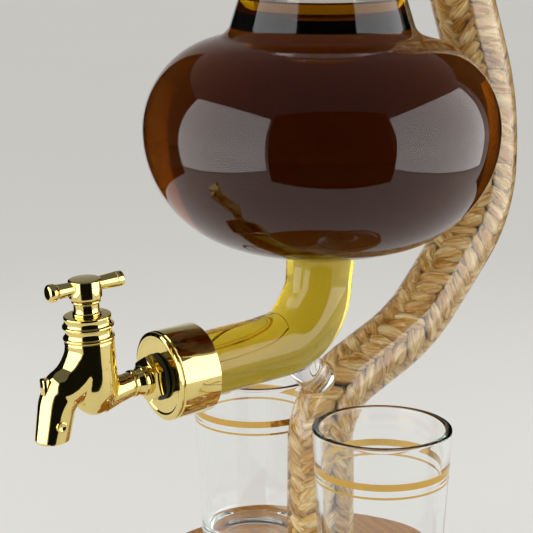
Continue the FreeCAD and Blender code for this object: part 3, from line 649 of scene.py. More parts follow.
def husk_fibre(context):
    # Dried husk, twisted and plaited by hand: matt, streaked along the strand; painted shade
    # darkens the creases, the bights' inner sides and the core, so the ridges stay pale.
    material, tree = new_material("dried_husk_fibre")
    if tree is None:
        return material
    lie = add_node(tree, "Attribute", attribute_name="fibre").outputs["Vector"]
    crease_shade = add_node(tree, "Attribute", attribute_name="crease_shade").outputs["Fac"]
    streaks = add_node(tree, "Mapping", {"Vector": lie, "Scale": (1.0, 1.0, 0.08)})
    threads = add_node(
        tree, "TexNoise", {"Vector": streaks, "Scale": 1300.0, "Detail": 3.0, "Roughness": 0.6}
    )
    broad = add_node(tree, "TexNoise", {"Vector": streaks, "Scale": 260.0, "Detail": 2.0})
    blotch = add_node(tree, "TexNoise", {"Vector": lie, "Scale": 60.0, "Detail": 2.0})
    tone = add_node(tree, "Math", {0: threads, 1: broad}, operation="ADD")
    mean = add_node(tree, "Math", {0: tone, 1: 0.5}, operation="MULTIPLY")
    ramp = add_node(
        tree, "ValToRGB", {"Fac": mean},
        [
            (0.30, finish_colour(context, "husk_dark_and_crease_shade")), (0.44, finish_colour(context, "husk")),
            (0.60, finish_colour(context, "husk_pale")),
        ],
    )
    # Painted shade: the fibre darkens towards the dark husk colour in the creases, on the bights'
    # inner sides and on the core.
    crease_shaded = add_node(
        tree, "Mix", {0: crease_shade, 6: ramp, 7: finish_colour(context, "husk_dark_and_crease_shade")}, data_type="RGBA"
    )
    shade = add_node(
        tree, "ValToRGB", {"Fac": blotch},
        [(0.38, (0.80, 0.66, 0.44, 1)), (0.6, (1.0, 1.0, 1.0, 1))],
    )
    skin = add_node(
        tree, "Mix", {0: 1.0, 6: crease_shaded.outputs[2], 7: shade}, data_type="RGBA", blend_type="MULTIPLY"
    )
    bump = add_node(tree, "Bump", {"Height": tone, "Strength": 0.7, "Distance": 0.0003})
    husk = add_node(
        tree, "BsdfPrincipled", {"Base Color": skin.outputs[2], "Roughness": 0.72, "Normal": bump}
    )
    output(tree, husk)
    return material


def natural_cork(context):
    # Cut cork: soft and matt, with dark pores 1 to 2 mm wide.
    material, tree = new_material("natural_cork")
    if tree is None:
        return material
    place = add_node(tree, "TexCoord").outputs["Object"]
    cells = add_node(tree, "TexVoronoi", {"Vector": place, "Scale": 520.0})
    blotch = add_node(
        tree, "TexNoise", {"Vector": place, "Scale": 320.0, "Detail": 5.0, "Roughness": 0.65}
    )
    ramp = add_node(
        tree, "ValToRGB", {"Fac": blotch},
        [(0.36, finish_colour(context, "cork_dark")), (0.47, finish_colour(context, "cork"))],
    )
    bump = add_node(tree, "Bump", {"Height": cells, "Strength": 0.4, "Distance": 0.0004})
    cork = add_node(tree, "BsdfPrincipled", {"Base Color": ramp, "Roughness": 0.85, "Normal": bump})
    output(tree, cork)
    return material


def soft_solid(name, shade, roughness, grain, depth, transmission=0.0):
    """A plain soft solid with a fine grain, such as moulded rubber or pressed felt."""
    material, tree = new_material(name)
    if tree is None:
        return material
    place = add_node(tree, "TexCoord").outputs["Object"]
    grit = add_node(
        tree, "TexNoise", {"Vector": place, "Scale": grain, "Detail": 3.0, "Roughness": 0.6}
    )
    tone = add_node(tree, "Mix", {0: grit, 6: shaded(shade, 0.8), 7: shade}, data_type="RGBA")
    bump = add_node(tree, "Bump", {"Height": grit, "Strength": 0.4, "Distance": depth})
    solid = add_node(
        tree, "BsdfPrincipled",
        {
            "Base Color": tone.outputs[2], "Roughness": roughness, "Normal": bump,
            "Transmission Weight": transmission,
        },
    )
    output(tree, solid)
    return material


def black_rubber(context):
    # Moulded black rubber: matt, with a slight skin.
    return soft_solid("moulded_rubber", finish_colour(context, "rubber"), 0.5, 900.0, 0.0001)


def clear_silicone(context):
    # Cast silicone: milky and soft, light passes into it.
    return soft_solid(
        "cast_silicone", finish_colour(context, "silicone"), 0.35, 500.0, 0.0001, 0.35
    )


def wool_felt(context):
    # Pressed wool felt: no shine, fibres a fraction of a millimetre thick.
    return soft_solid("pressed_felt", finish_colour(context, "felt"), 0.95, 2200.0, 0.0005)


# The vessel's curves ------------------------------------------------------------------


def oval(width, height, side):
    """The wide arc through the pole: its radius, and the angle where the side arc meets it."""
    reach = width - side
    wide = (reach * reach + height * height - side * side) / (2 * (height - side))
    return reach, wide, math.atan2(wide - height, reach)


def bow_centre(start, end, radius):
    """Centre of the arc that hollows towards the axis on its way up from start to end."""
    start, end = Vector(start), Vector(end)
    chord = end - start
    across = Vector((chord.y, -chord.x)).normalized()
    return (start + end) / 2 + across * math.sqrt(radius**2 - (chord.length / 2) ** 2)


def wall_face(vessel, inset, fillet):
    """One face of the blown wall, from the spigot's foot up to the lip's foot."""
    equator = mm(vessel.equator)
    width = mm(vessel.globe_radius) - inset
    low_reach, low_wide, low_turn = oval(
        width, mm(vessel.lower_height) - inset, mm(vessel.lower_bow) - inset
    )
    high_reach, high_wide, high_turn = oval(
        width, mm(vessel.upper_height) - inset, mm(vessel.upper_bow) - inset
    )
    low_centre = equator - (mm(vessel.lower_height) - inset) + low_wide
    high_centre = equator + (mm(vessel.upper_height) - inset) - high_wide
    spigot = mm(vessel.spigot_radius) - inset
    start = math.acos(spigot / low_wide)
    eased = start - fillet / low_wide
    root = mm(vessel.neck_root) - inset
    end = math.acos(root / high_wide)
    eased_end = end - fillet / high_wide
    root_spot = (root, high_centre + high_wide * math.sin(end))
    neck_spot = (mm(vessel.neck_radius) - inset, mm(vessel.lip_foot))
    bow = mm(vessel.neck_bow) + inset
    centre = bow_centre(root_spot, neck_spot, bow)
    first = math.atan2(root_spot[1] - centre.y, root_spot[0] - centre.x) % math.tau
    last = math.atan2(neck_spot[1] - centre.y, neck_spot[0] - centre.x) % math.tau
    eased_root = first - fillet / bow
    neck_start = centre + bow * Vector((math.cos(eased_root), math.sin(eased_root)))
    return [
        (spigot, low_centre - low_wide * math.sin(start), fillet * 0.97),
        (low_wide * math.cos(eased), low_centre - low_wide * math.sin(eased)),
        Arc(0, low_centre, eased - low_turn), Arc(low_reach, equator, low_turn),
        Arc(high_reach, equator, high_turn), Arc(0, high_centre, eased_end - high_turn),
        (*root_spot, fillet * 0.97), tuple(neck_start), Arc(centre.x, centre.y, last - eased_root),
    ]


def neck_radius_at(vessel, inset, level):
    """Radius of a face of the wall at a height in the neck."""
    face = wall_face(vessel, inset, 0.5)
    bow = mm(vessel.neck_bow) + inset
    return face[-1].x - math.sqrt(bow**2 - (level - face[-1].z) ** 2)


def outlet_route(vessel, reach):
    dip = math.radians(3.5)
    corner = (0.0, mm(vessel.outlet_height))
    end = (-reach * math.cos(dip), corner[1] - reach * math.sin(dip))
    return make_route([(0.0, mm(vessel.spigot_foot)), corner, end], [mm(vessel.outlet_bend)])


def handle_joint():
    return next(joint for joint in frame["joints"] if joint["name"] == "handle_turn")


def outlet_frame():
    """The outlet's turn: X runs back along it, Z is the stem's direction."""
    up = Vector(handle_joint()["axis"]).normalized()
    return Vector((0, 0, 1)).rotation_difference(up).to_matrix().to_4x4()


def tap_place():
    """The tap's frame, in millimetres: Z is the stem's axis, X runs back through the inlet."""
    return Matrix.Translation(Vector(handle_joint()["pos_m"]) / MM) @ outlet_frame()


def outlet_place(vessel):
    """Turned pieces on the outlet: their Z axis leads out along it from its corner."""
    back = Matrix.Rotation(-math.pi / 2, 4, "Y")
    return Matrix.Translation((0, 0, mm(vessel.outlet_height))) @ outlet_frame() @ back


def tube_route(start):
    """The stand tube's centreline, from a height on its stem to its leaning crown."""
    x, z = TUBE_CORNERS[-1]
    top = (x - TUBE_CROWN * math.sin(TUBE_LEAN), z + TUBE_CROWN * math.cos(TUBE_LEAN))
    return make_route([(0, start), *TUBE_CORNERS, top], TUBE_BENDS)


# Operators ----------------------------------------------------------------------------


class DISPENSER_OT_base(bpy.types.Operator):
    """Turn the wooden base and lay the felt under it"""

    bl_idname = "dispenser.base"
    bl_label = "Base"

    def execute(self, context):
        stand = context.scene.dispenser_stand
        radius = mm(node_radius("wooden_base"))
        low, high = (mm(corner.z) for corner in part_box("wooden_base"))
        bore = mm(stand.tube_radius) + 2.2
        seat = high - 12
        moves = [
            (0, low), (radius - 0.6, low, 1.0), (radius - 0.6, low + 0.8, 0.3),
            (radius, low + 1.4, 0.5), (radius, high, mm(stand.base_round)), (bore + 0.3, high),
            (bore, high - 0.3), (bore, seat), (0, seat),
        ]
        finish = ("stand", oiled_hardwood(context), "turned_wood", "wooden_base")
        turn_piece("turned_wooden_base", moves, *finish, closed=False, sharp=35)
        finish_node("base_felt", wool_felt(context))
        finish_node("tube_seat_bush", black_rubber(context))
        finish_node("foot_plug", black_rubber(context))
        return {"FINISHED"}


class DISPENSER_OT_vessel(bpy.types.Operator):
    """Blow the globe with its neck, lip and outlet as one wall of glass"""

    bl_idname = "dispenser.vessel"
    bl_label = "Glass vessel"

    def execute(self, context):
        vessel = context.scene.dispenser_vessel
        wall = mm(vessel.wall)
        outlet = mm(vessel.outlet_radius)
        foot = mm(vessel.spigot_foot)
        mouth = mm(vessel.neck_radius) - wall
        lip_foot = mm(vessel.lip_foot)
        lip_top = mm(vessel.lip_top)
        lip = mm(vessel.lip_radius)
        route = outlet_route(vessel, mm(vessel.glass_end))
        rim = [
            (lip, lip_foot, 1.7), (lip, lip_top, 1.9), (mouth, lip_top, 1.9),
            (mouth, lip_foot + 0.5),
        ]
        bm = blown_shell([(outlet, foot), *wall_face(vessel, 0.0, OUTER_FILLET), *rim], route)
        bore = outlet - mm(vessel.outlet_wall)
        lining = blown_shell([(bore, foot), *wall_face(vessel, wall, INNER_FILLET)], route)
        level = mm(vessel.drink_level)
        end = mm(vessel.drink_end)
        for face in lining.faces:
            spot = face.calc_center_median()
            filled = spot.z > foot or spot.x > -end
            face.material_index = int(filled and spot.z < level)
        add_shell(bm, lining)
        loops = sorted(loops_of(boundary(bm)), key=lambda loop: loop[0].verts[0].co.z)
        bmesh.ops.bridge_loops(bm, edges=loops[0] + loops[1])
        bmesh.ops.bridge_loops(bm, edges=loops[2] + loops[3])
        bmesh.ops.recalc_face_normals(bm, faces=bm.faces)
        piece = add_piece(
            "blown_vessel", bm, "stand", borosilicate_glass(), "clear_glass", "glass_globe",
            "glass_neck", "outlet_elbow", sharp=None,
        )
        piece.data.materials.append(wetted_glass())
        return {"FINISHED"}


def blown_shell(moves, route, near=20.0, shares=(0, 0.25, 0.5, 0.75)):
    """One face of the blown wall: turned about Z, then led along the outlet from its foot."""
    bm = bmesh.new()
    low, high = Vector(moves[0]), Vector(moves[1][:2])
    outline(bm, [*(tuple(low.lerp(high, share)) for share in shares), *moves[1:]])
    spin_full(bm, TURN_STEPS)
    bmesh.ops.remove_doubles(bm, verts=bm.verts, dist=WIDE_WELD)
    foot = min(loops_of(boundary(bm)), key=lambda loop: loop[0].verts[0].co.z)
    start = along(route, 0.0)
    for vert in bm.verts:
        spot = start.inverted() @ vert.co
        if -GATHER_LEAD < spot.z < 0.1 and math.hypot(spot.x, spot.y) < near:
            vert.co = start @ fuller(route, spot.z) @ spot
    carry(bm, foot, [along(route, mark) @ fuller(route, mark) for mark in stations(route)])
    return bm


def fuller(route, mark):
    """Glass gathers in the outlet's bend, mostly on the bend's inner side."""
    reach = route[0][4] + route[1][4] + GATHER_TAIL + GATHER_LEAD
    share = math.sin(math.pi * min(1.0, max(0.0, mark + GATHER_LEAD) / reach) ** 0.8) ** 2
    inwards, sideways, shift = 0.12 * share, 0.05 * share, 1.5 * share
    swell = Matrix.Diagonal((1 + inwards, 1 + sideways, 1, 1))
    return Matrix.Translation((shift, 0, 0)) @ swell


class DISPENSER_OT_drink(bpy.types.Operator):
    """Fill the globe, the spigot and the outlet with amber drink"""

    bl_idname = "dispenser.drink"
    bl_label = "Drink"

    def execute(self, context):
        vessel = context.scene.dispenser_vessel
        overlap = 0.15
        inset = mm(vessel.wall) - overlap
        level = mm(vessel.drink_level)
        bore = mm(vessel.outlet_radius) - mm(vessel.outlet_wall) + overlap
        face = wall_face(vessel, inset, INNER_FILLET)
        edge = neck_radius_at(vessel, inset, level)
        bow = face[-1]
        start = math.atan2(face[-2][1] - bow.z, face[-2][0] - bow.x) % math.tau
        stop = math.atan2(level - bow.z, edge - bow.x) % math.tau
        surface = [(edge - 0.6, level - 0.5), (edge - 1.6, level - 0.75), (0, level - 0.75)]
        foot = (bore, mm(vessel.spigot_foot))
        moves = [foot, *face[:-1], Arc(bow.x, bow.z, stop - start), *surface]
        bm = blown_shell(moves, outlet_route(vessel, mm(vessel.drink_end)))
        close_ring(bm, boundary(bm))
        bmesh.ops.recalc_face_normals(bm, faces=bm.faces)
        open_face = bm.faces.layers.float.new("open_face")
        for part in bm.faces:
            part[open_face] = float(part.normal.z > 0.5 and part.calc_center_median().z > level - 1)
        add_piece("amber_drink", bm, "stand", amber_drink(), "clear_glass", sharp=None)
        return {"FINISHED"}


class DISPENSER_OT_stand_tube(bpy.types.Operator):
    """Bend the glass stand tube and fuse it to the outlet and the neck with two bars"""

    bl_idname = "dispenser.stand_tube"
    bl_label = "Stand tube"

    def execute(self, context):
        stand = context.scene.dispenser_stand
        route = tube_route(mm(stand.tube_foot))
        places = [along(route, mark) for mark in stations(route)]
        outer = mm(stand.tube_radius)
        bm = bmesh.new()
        starts = []
        for radius in (outer, outer - mm(stand.tube_wall)):
            ring = ring_at(bm, radius, places[0])
            starts.extend(ring)
            dome(bm, carry(bm, ring, places), places[-1], radius)
        bmesh.ops.bridge_loops(bm, edges=starts)
        bmesh.ops.remove_doubles(bm, verts=bm.verts, dist=WIDE_WELD)
        bmesh.ops.recalc_face_normals(bm, faces=bm.faces)
        tube = add_piece(
            "bent_stand_tube", bm, "stand", borosilicate_glass(), "clear_glass", "stand_tube",
            sharp=None,
        )
        vessel = bpy.data.objects["blown_vessel"]
        for node, radius, middle, heading in (
            ("lower_stub", mm(stand.stub_radius), (-4.0, 103.3), -45.0),
            ("upper_stub", mm(stand.top_stub_radius), (38.0, 263.7), 0.0),
        ):
            add_fused_bar(node, radius, middle, heading, vessel, tube)
        return {"FINISHED"}


def add_fused_bar(node, radius, middle, heading, back, front):
    """A glass bar whose flared ends lie on the walls that it is fused to."""
    tilt = Matrix.Rotation(math.pi / 2 - math.radians(heading), 4, "Y")
    centre = Vector((middle[0], 0, middle[1]))
    axis = tilt.to_3x3() @ Vector((0, 0, 1))
    bm = bmesh.new()
    ring = ring_at(bm, radius, Matrix.Translation(centre) @ tilt, 48)
    verts = {vert for edge in ring for vert in edge.verts}
    for piece, way in ((back, -axis), (front, axis)):
        tree = BVHTree.FromObject(piece, bpy.context.evaluated_depsgraph_get())
        reaches = {}
        for vert in verts:
            start = centre + (vert.co - centre) * FUSED_FLARE[-1][1]
            hit = tree.ray_cast(start * MM, way)[0]
            if hit is None:
                hit = tree.find_nearest((start + way * radius) * MM)[0]
            reaches[vert] = (hit / MM - start).dot(way) + FUSED_DEPTH
        here = ring
        roots = {vert: vert for vert in verts}
        for share, flare in FUSED_FLARE:
            made = bmesh.ops.extrude_edge_only(bm, edges=here)["geom"]
            here = [part for part in made if isinstance(part, bmesh.types.BMEdge)]
            after = {}
            for vert in (part for part in made if isinstance(part, bmesh.types.BMVert)):
                beside = (edge.other_vert(vert) for edge in vert.link_edges)
                root = next(roots[other] for other in beside if other in roots)
                vert.co = centre + (root.co - centre) * flare + way * reaches[root] * share
                after[vert] = root
            roots = after
        close_ring(bm, here)
    bmesh.ops.recalc_face_normals(bm, faces=bm.faces)
    add_piece(f"fused_{node}", bm, "stand", borosilicate_glass(), "clear_glass", node, sharp=60)


class DISPENSER_OT_plait(bpy.types.Operator):
    """Fill the stand tube with a round plait of dried husk, one bight at a time"""

    bl_idname = "dispenser.plait"
    bl_label = "Plait"

    def execute(self, context):
        stand = context.scene.dispenser_stand
        route = tube_route(mm(stand.plait_foot))
        total = route_length(route) + 5.0
        radius = mm(stand.plait_radius)
        aside = Matrix.Translation((mm(stand.plait_shift), 0, 0))
        pitch = mm(stand.bight_pitch)
        half = (mm(stand.bight_height), mm(stand.bight_width), mm(stand.bight_length))
        bm = husk_mesh()
        add_plait_core(bm, route, total, radius - CORE_SINK, aside)
        rows = int(total / pitch)
        for column in range(PLAIT_COLUMNS):
            bights = husk_mesh()
            slant = -math.radians(stand.bight_slant) * (-1) ** column
            facing = math.radians(stand.plait_turn) + math.tau * column / PLAIT_COLUMNS
            for row in range(rows):
                key = Vector((column * 7.3, row * 3.7, 0.5))
                stray = STRAY_ALONG * noise.noise(key)
                distance = (row + 0.25 + 0.5 * (column % 2) + stray) * pitch
                turn = facing + STRAY_ROUND * noise.noise(key + Vector((0, 0, 9)))
                size = 1 + STRAY_SIZE * noise.noise(key + Vector((0, 0, 5)))
                place = along(route, min(distance, total - 4.0)) @ aside
                place = place @ Matrix.Rotation(turn, 4, "Z")
                lean = slant + STRAY_LEAN * noise.noise(key + Vector((0, 4, 0)))
                add_bight(bights, place, radius, lean, [part * size for part in half], key)
            add_shell(bm, bights)
        add_piece(
            "plaited_husk", bm, "stand", husk_fibre(context), "plait_fibre", "braided_plait",
            sharp=None,
        )
        return {"FINISHED"}


def husk_mesh():
    """An empty mesh whose points tell how the fibre lies and how much painted shade they get."""
    bm = bmesh.new()
    bm.verts.layers.float_vector.new("fibre")
    bm.verts.layers.float.new("crease_shade")
    return bm


def add_plait_core(bm, route, total, radius, aside):
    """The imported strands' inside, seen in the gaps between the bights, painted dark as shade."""
    fibre = bm.verts.layers.float_vector["fibre"]
    crease_shade = bm.verts.layers.float["crease_shade"]
    places = [along(route, mark) @ aside for mark in stations(route)]
    places.append(along(route, total - 4.0) @ aside)
    ring = ring_at(bm, radius, places[0], 24)
    close_ring(bm, ring)
    close_ring(bm, carry(bm, ring, places))
    bmesh.ops.recalc_face_normals(bm, faces=bm.faces)
    # Painted shade: the whole core takes the full dark shade colour, and its end knot a little of
    # it.
    for vert in bm.verts:
        vert[crease_shade] = 1.0
    end = places[-1] @ Matrix.Diagonal((1.15 * radius, 1.15 * radius, 0.6 * radius, 1))
    knot = bmesh.ops.create_uvsphere(bm, u_segments=24, v_segments=12, radius=1.0, matrix=end)
    for vert in knot["verts"]:
        vert[crease_shade] = 0.15
    for vert in bm.verts:
        vert[fibre] = vert.co * MM


def add_bight(bm, place, radius, lean, half, key):
    """One bight of a strand: a plump leaf wrapped round the plait, its ends tucked under."""
    fibre = bm.verts.layers.float_vector["fibre"]
    crease_shade = bm.verts.layers.float["crease_shade"]
    verts = bmesh.ops.create_uvsphere(bm, u_segments=10, v_segments=7, radius=1.0)["verts"]
    for vert in verts:
        x, y, z = vert.co
        thin = 1 - 0.22 * z - 0.36 * z * z
        plump = 1 + 0.22 * noise.noise(vert.co * 1.1 + key)
        out = half[0] * x * thin * plump
        wide = half[1] * y * thin * plump
        reach = half[2] * z
        turn = (reach * math.sin(lean) + wide * math.cos(lean)) / radius
        lift = reach * math.cos(lean) - wide * math.sin(lean)
        away = radius + out - 1.3 * z * z - 0.6 * z
        vert.co = place @ Vector((away * math.cos(turn), away * math.sin(turn), lift))
        vert[fibre] = (Vector((out, wide, reach)) + key * 11) * MM
        # Painted shade: darker on the bight's inner side towards the core, and at its edges and
        # ends.
        vert[crease_shade] = min(1.0, max(0.0, 0.82 - 1.5 * x) + 0.7 * abs(y) ** 4 + 0.7 * abs(z) ** 5)


class DISPENSER_OT_collar(bpy.types.Operator):
    """Spin the gilt collar and cut the nuts that clamp it"""

    bl_idname = "dispenser.collar"
    bl_label = "Collar and nuts"

    def execute(self, context):
        place = outlet_place(context.scene.dispenser_vessel)
        gold = gold_plating(context)
        moves = [
            (14.7, 53.3), (15.7, 53.3, 0.35), (16.0, 53.9), (16.0, 68.0), (15.5, 68.3, 0.2),
            (15.5, 68.7, 0.2), (15.9, 69.0, 0.3), (15.9, 69.6), (15.2, 70.1, 0.4),
            (13.6, 70.1, 0.4), (13.2, 69.75), (SHANK_HOLE, 69.75), (SHANK_HOLE, 68.3), (14.7, 68.3),
        ]
        finish = ("stand", gold, "gold_plating", "gold_collar")
        turn_piece("gilt_collar", moves, *finish, place=place, sharp=30)
        moves = [(11.9, 52.6, 0.3), (14.55, 52.6, 0.5), (14.55, 66.7), (11.9, 66.7)]
        finish = ("stand", clear_silicone(context), "silicone", "collar_gasket")
        turn_piece("silicone_sleeve", moves, *finish, place=place, sharp=35)
        moves = [(SHANK_HOLE, 70.1), (8.3, 70.1, 0.25), (8.3, 71.3, 0.35), (SHANK_HOLE, 71.3)]
        finish = ("stand", black_rubber(context), "rubber", "face_washer")
        turn_piece("rubber_washer", moves, *finish, place=place, sharp=35)
        bm = bmesh.new()
        add_hex_nut(bm, 14.6, 71.3, 75.3, place)
        add_piece("gilt_lock_nut", bm, "stand", gold, "gold_plating", "lock_nut", sharp=25)
        finish_node("outlet_bung", clear_silicone(context))
        finish_node("backing_nut", plain_brass(context))
        return {"FINISHED"}


def add_hex_nut(bm, flats, low, high, place):
    """A hexagonal nut with turned chamfers, cut from a turned blank."""
    face = flats / 2 - 0.3
    corner = flats / math.sqrt(3) + 0.2
    piece = bmesh.new()
    chamfer = 0.55
    blank = [
        (SHANK_HOLE, low), (face, low), (corner, low + chamfer), (corner, high - chamfer),
        (face, high), (SHANK_HOLE, high),
    ]
    outline(piece, blank, closed=True)
    spin_full(piece, SMALL_STEPS)
    bmesh.ops.remove_doubles(piece, verts=piece.verts, dist=WELD)
    for i in range(6):
        angle = math.radians(30 + 60 * i)
        out = Vector((math.cos(angle), math.sin(angle), 0))
        close_ring(piece, cut_off(piece, out * flats / 2, out))
    join_in(bm, piece, place)


class DISPENSER_OT_tap_body(bpy.types.Operator):
    """Cast the tap's barrel, inlet and spout in one flowing piece"""

    bl_idname = "dispenser.tap_body"
    bl_label = "Tap body"

    def execute(self, context):
        bm = bmesh.new()
        barrel = [
            (0, -7.4), (2.6, -7.2, 0.6), (5.6, -5.0, 1.5), (8.6, 0.4, 2.5), (8.75, 7.0, 3.0),
            (8.6, 12.0), (8.6, 20.0, 0.3), (0, 20.0),
        ]
        turned(bm, barrel, steps=SMALL_STEPS)
        spout = make_route([(0, 9.0), (-13.2, 3.2), (-17.5, -13.9)], [11.0])
        swept(bm, spout, [(i / 40, 7.6 - 1.7 * (i / 40) ** 0.9) for i in range(41)])
        add_spout_root(bm)
        keel = make_route([(2.0, -1.6), (14.4, -0.2)], [])
        swept(bm, keel, ((0, 6.2), (0.55, 4.9), (1, 4.3)))
        bmesh.ops.recalc_face_normals(bm, faces=bm.faces)
        cast = cast_solid(bm)
        trim_spout(cast)
        inlet = [
            (0, 12.4), (4.2, 12.4), (4.2, 14.4), (4.8, 14.5, 0.3), (4.8, 16.1, 0.3), (4.3, 16.3),
            (5.0, 18.2), (5.4, 18.3, 0.3), (5.4, 20.5, 0.3), (3.9, 20.5), (3.9, 44.0, 0.5),
            (0, 44.0),
        ]
        turned(cast, inlet, steps=SMALL_STEPS, place=Matrix.Rotation(math.pi / 2, 4, "Y"))
        add_lug(cast)
        bmesh.ops.transform(cast, matrix=tap_place(), verts=cast.verts)
        gold = gold_plating(context)
        add_piece("gilt_tap_body", cast, "stand", gold, "gold_plating", "tap_body", sharp=40)
        return {"FINISHED"}


def add_spout_root(bm, balls=15):
    """Metal that flows from the barrel's side into the spout: close balls round a hollow arc."""
    middle = (-17.6, 19.1)
    hollow = 9.0
    swing = math.radians(-66.3)
    ceiling = 19.8
    for i in range(balls):
        share = i / (balls - 1)
        turn = swing * share
        radius = 8.5 - 1.3 * share
        x = middle[0] + (hollow + radius) * math.cos(turn)
        z = middle[1] + (hollow + radius) * math.sin(turn)
        size = Matrix.Diagonal((radius, radius, min(radius, ceiling - z), 1))
        place = Matrix.Translation((x, 0, z)) @ size
        bmesh.ops.create_uvsphere(bm, u_segments=48, v_segments=24, radius=1.0, matrix=place)


def cast_solid(bm, voxel=0.32, smooth=14):
    """Melt overlapping shells into one flowing casting."""
    mesh = bpy.data.meshes.new("casting")
    bm.to_mesh(mesh)
    bm.free()
    rough = bpy.data.objects.new("casting", mesh)
    bpy.context.scene.collection.objects.link(rough)
    melt = rough.modifiers.new("melt", "REMESH")
    melt.mode = "VOXEL"
    melt.voxel_size = voxel
    ease = rough.modifiers.new("ease", "SMOOTH")
    ease.factor = 0.5
    ease.iterations = smooth
    solid = bmesh.new()
    solid.from_object(rough, bpy.context.evaluated_depsgraph_get())
    bpy.data.objects.remove(rough)
    bpy.data.meshes.remove(mesh)
    return solid


def trim_spout(bm):
    """Cut the spout's mouth level and sink its bore."""
    mouth = -12.6
    rim = cut_off(bm, (0, 0, mouth), (0, 0, -1))
    verts = {vert for edge in rim for vert in edge.verts}
    centre = sum((vert.co for vert in verts), Vector()) / len(verts)
    bore = Vector((4.0, 0, 15.8)).normalized() * 11
    places = [Matrix.Translation(centre)]
    for shift, size in ((Vector((0, 0, -0.25)), 0.93), (Vector(), 0.76), (bore, 0.70)):
        places.append(Matrix.Translation(centre + shift) @ Matrix.Diagonal((size, size, 1, 1)))
    close_ring(bm, carry(bm, rim, places))


def add_lug(bm):
    """The small upright lug on the spout's crest and the round boss on its side."""
    piece = bmesh.new()
    lug = Matrix.Translation((-18.0, 0, 4.6)) @ Matrix.Diagonal((2.4, 3.4, 9.8, 1))
    bmesh.ops.create_cube(piece, size=1.0, matrix=lug)
    bmesh.ops.bevel(
        piece, geom=piece.edges[:], offset=0.5, offset_type="OFFSET", segments=3, profile=0.5,
        affect="EDGES", material=-1,
    )
    join_in(bm, piece)
    boss = [(0, 0), (2.0, 0), (2.0, 2.4, 0.5), (1.1, 2.4, 0.3), (0.8, 2.1), (0, 2.0)]
    side = Matrix.Translation((-16.0, -4.2, -6.6)) @ Matrix.Rotation(math.pi / 2, 4, "X")
    turned(bm, boss, steps=48, place=side)


class DISPENSER_OT_bonnet(bpy.types.Operator):
    """Turn the ringed bonnet and the gland round the stem"""

    bl_idname = "dispenser.bonnet"
    bl_label = "Bonnet and gland"

    def execute(self, context):
        place = tap_place()
        gold = gold_plating(context)
        bonnet = [
            (STEM_HOLE, 19.0), (8.3, 19.0), (8.3, 20.0), (8.9, 20.05, 0.35), (8.9, 21.0, 0.35),
            (8.2, 21.2, 0.2), (8.0, 22.6), (8.2, 24.0, 0.2), (8.9, 24.15, 0.35), (8.9, 25.1, 0.35),
            (8.2, 25.3, 0.2), (8.1, 27.2), (8.2, 27.5), (8.2, 28.4, 0.4), (STEM_HOLE, 28.4),
        ]
        turn_piece("gilt_bonnet", bonnet, "stand", gold, "gold_plating", "tap_bonnet", place=place)
        gland = [
            (STEM_HOLE, 28.4), (5.0, 28.4, 0.2), (5.0, 29.4, 0.3), (4.4, 29.6, 0.2),
            (4.4, 32.6, 0.2), (5.0, 32.8, 0.3), (5.0, 33.7, 0.3), (STEM_HOLE, 33.7),
        ]
        turn_piece("gilt_gland", gland, "stand", gold, "gold_plating", "packing_gland", place=place)
        finish_node("stem_seal", black_rubber(context))
        finish_node("valve_plug", plain_brass(context))
        finish_node("plug_seals", black_rubber(context))
        finish_node("valve_stem", plain_brass(context))
        return {"FINISHED"}


class DISPENSER_OT_handle(bpy.types.Operator):
    """Turn the handle's hub, its flared cross bar and the bar's caps"""

    bl_idname = "dispenser.handle"
    bl_label = "Handle"

    def execute(self, context):
        place = tap_place()
        level = Matrix.Translation((0, 0, BAR_LEVEL))
        across = place @ level @ Matrix.Rotation(math.pi / 2, 4, "Y")
        hub = [
            (0, 36.0), (STEM_HOLE, 36.0), (STEM_HOLE, 34.0), (5.3, 34.0, 0.3), (5.7, 34.6, 0.4),
            (5.7, 41.0, 0.7), (0, 41.1),
        ]
        bar = [
            (0, -BAR_REACH), (2.0, -BAR_REACH), (2.0, -11.0, 0.1), (2.6, -10.9, 0.3), (2.3, -5.0),
            (2.35, 5.0), (2.7, 11.4, 0.1), (2.6, 11.5), (2.6, BAR_REACH), (0, BAR_REACH),
        ]
        lift = Matrix.Translation((0, 0, BAR_REACH))
        flip = Matrix.Rotation(math.pi, 4, "X")
        front = [(0, 0), (3.1, 0, 0.25), (3.1, 2.6, 1.1), (0, 2.65)]
        rear = [(0, 0), (2.7, 0, 0.25), (2.7, 2.6, 0.5), (0, 2.65)]
        for name, moves, node, spot, steps in (
            ("gilt_hub", hub, "handle_hub", place, TURN_STEPS),
            ("gilt_cross_bar", bar, "handle_bar", across, SMALL_STEPS),
            ("gilt_bar_cap_front", front, "bar_cap_front", across @ flip @ lift, SMALL_STEPS),
            ("gilt_bar_cap_rear", rear, "bar_cap_rear", across @ lift, SMALL_STEPS),
        ):
            finish = ("tap_handle", gold_plating(context), "gold_plating", node)
            turn_piece(name, moves, *finish, place=spot, closed=False, steps=steps)
        return {"FINISHED"}


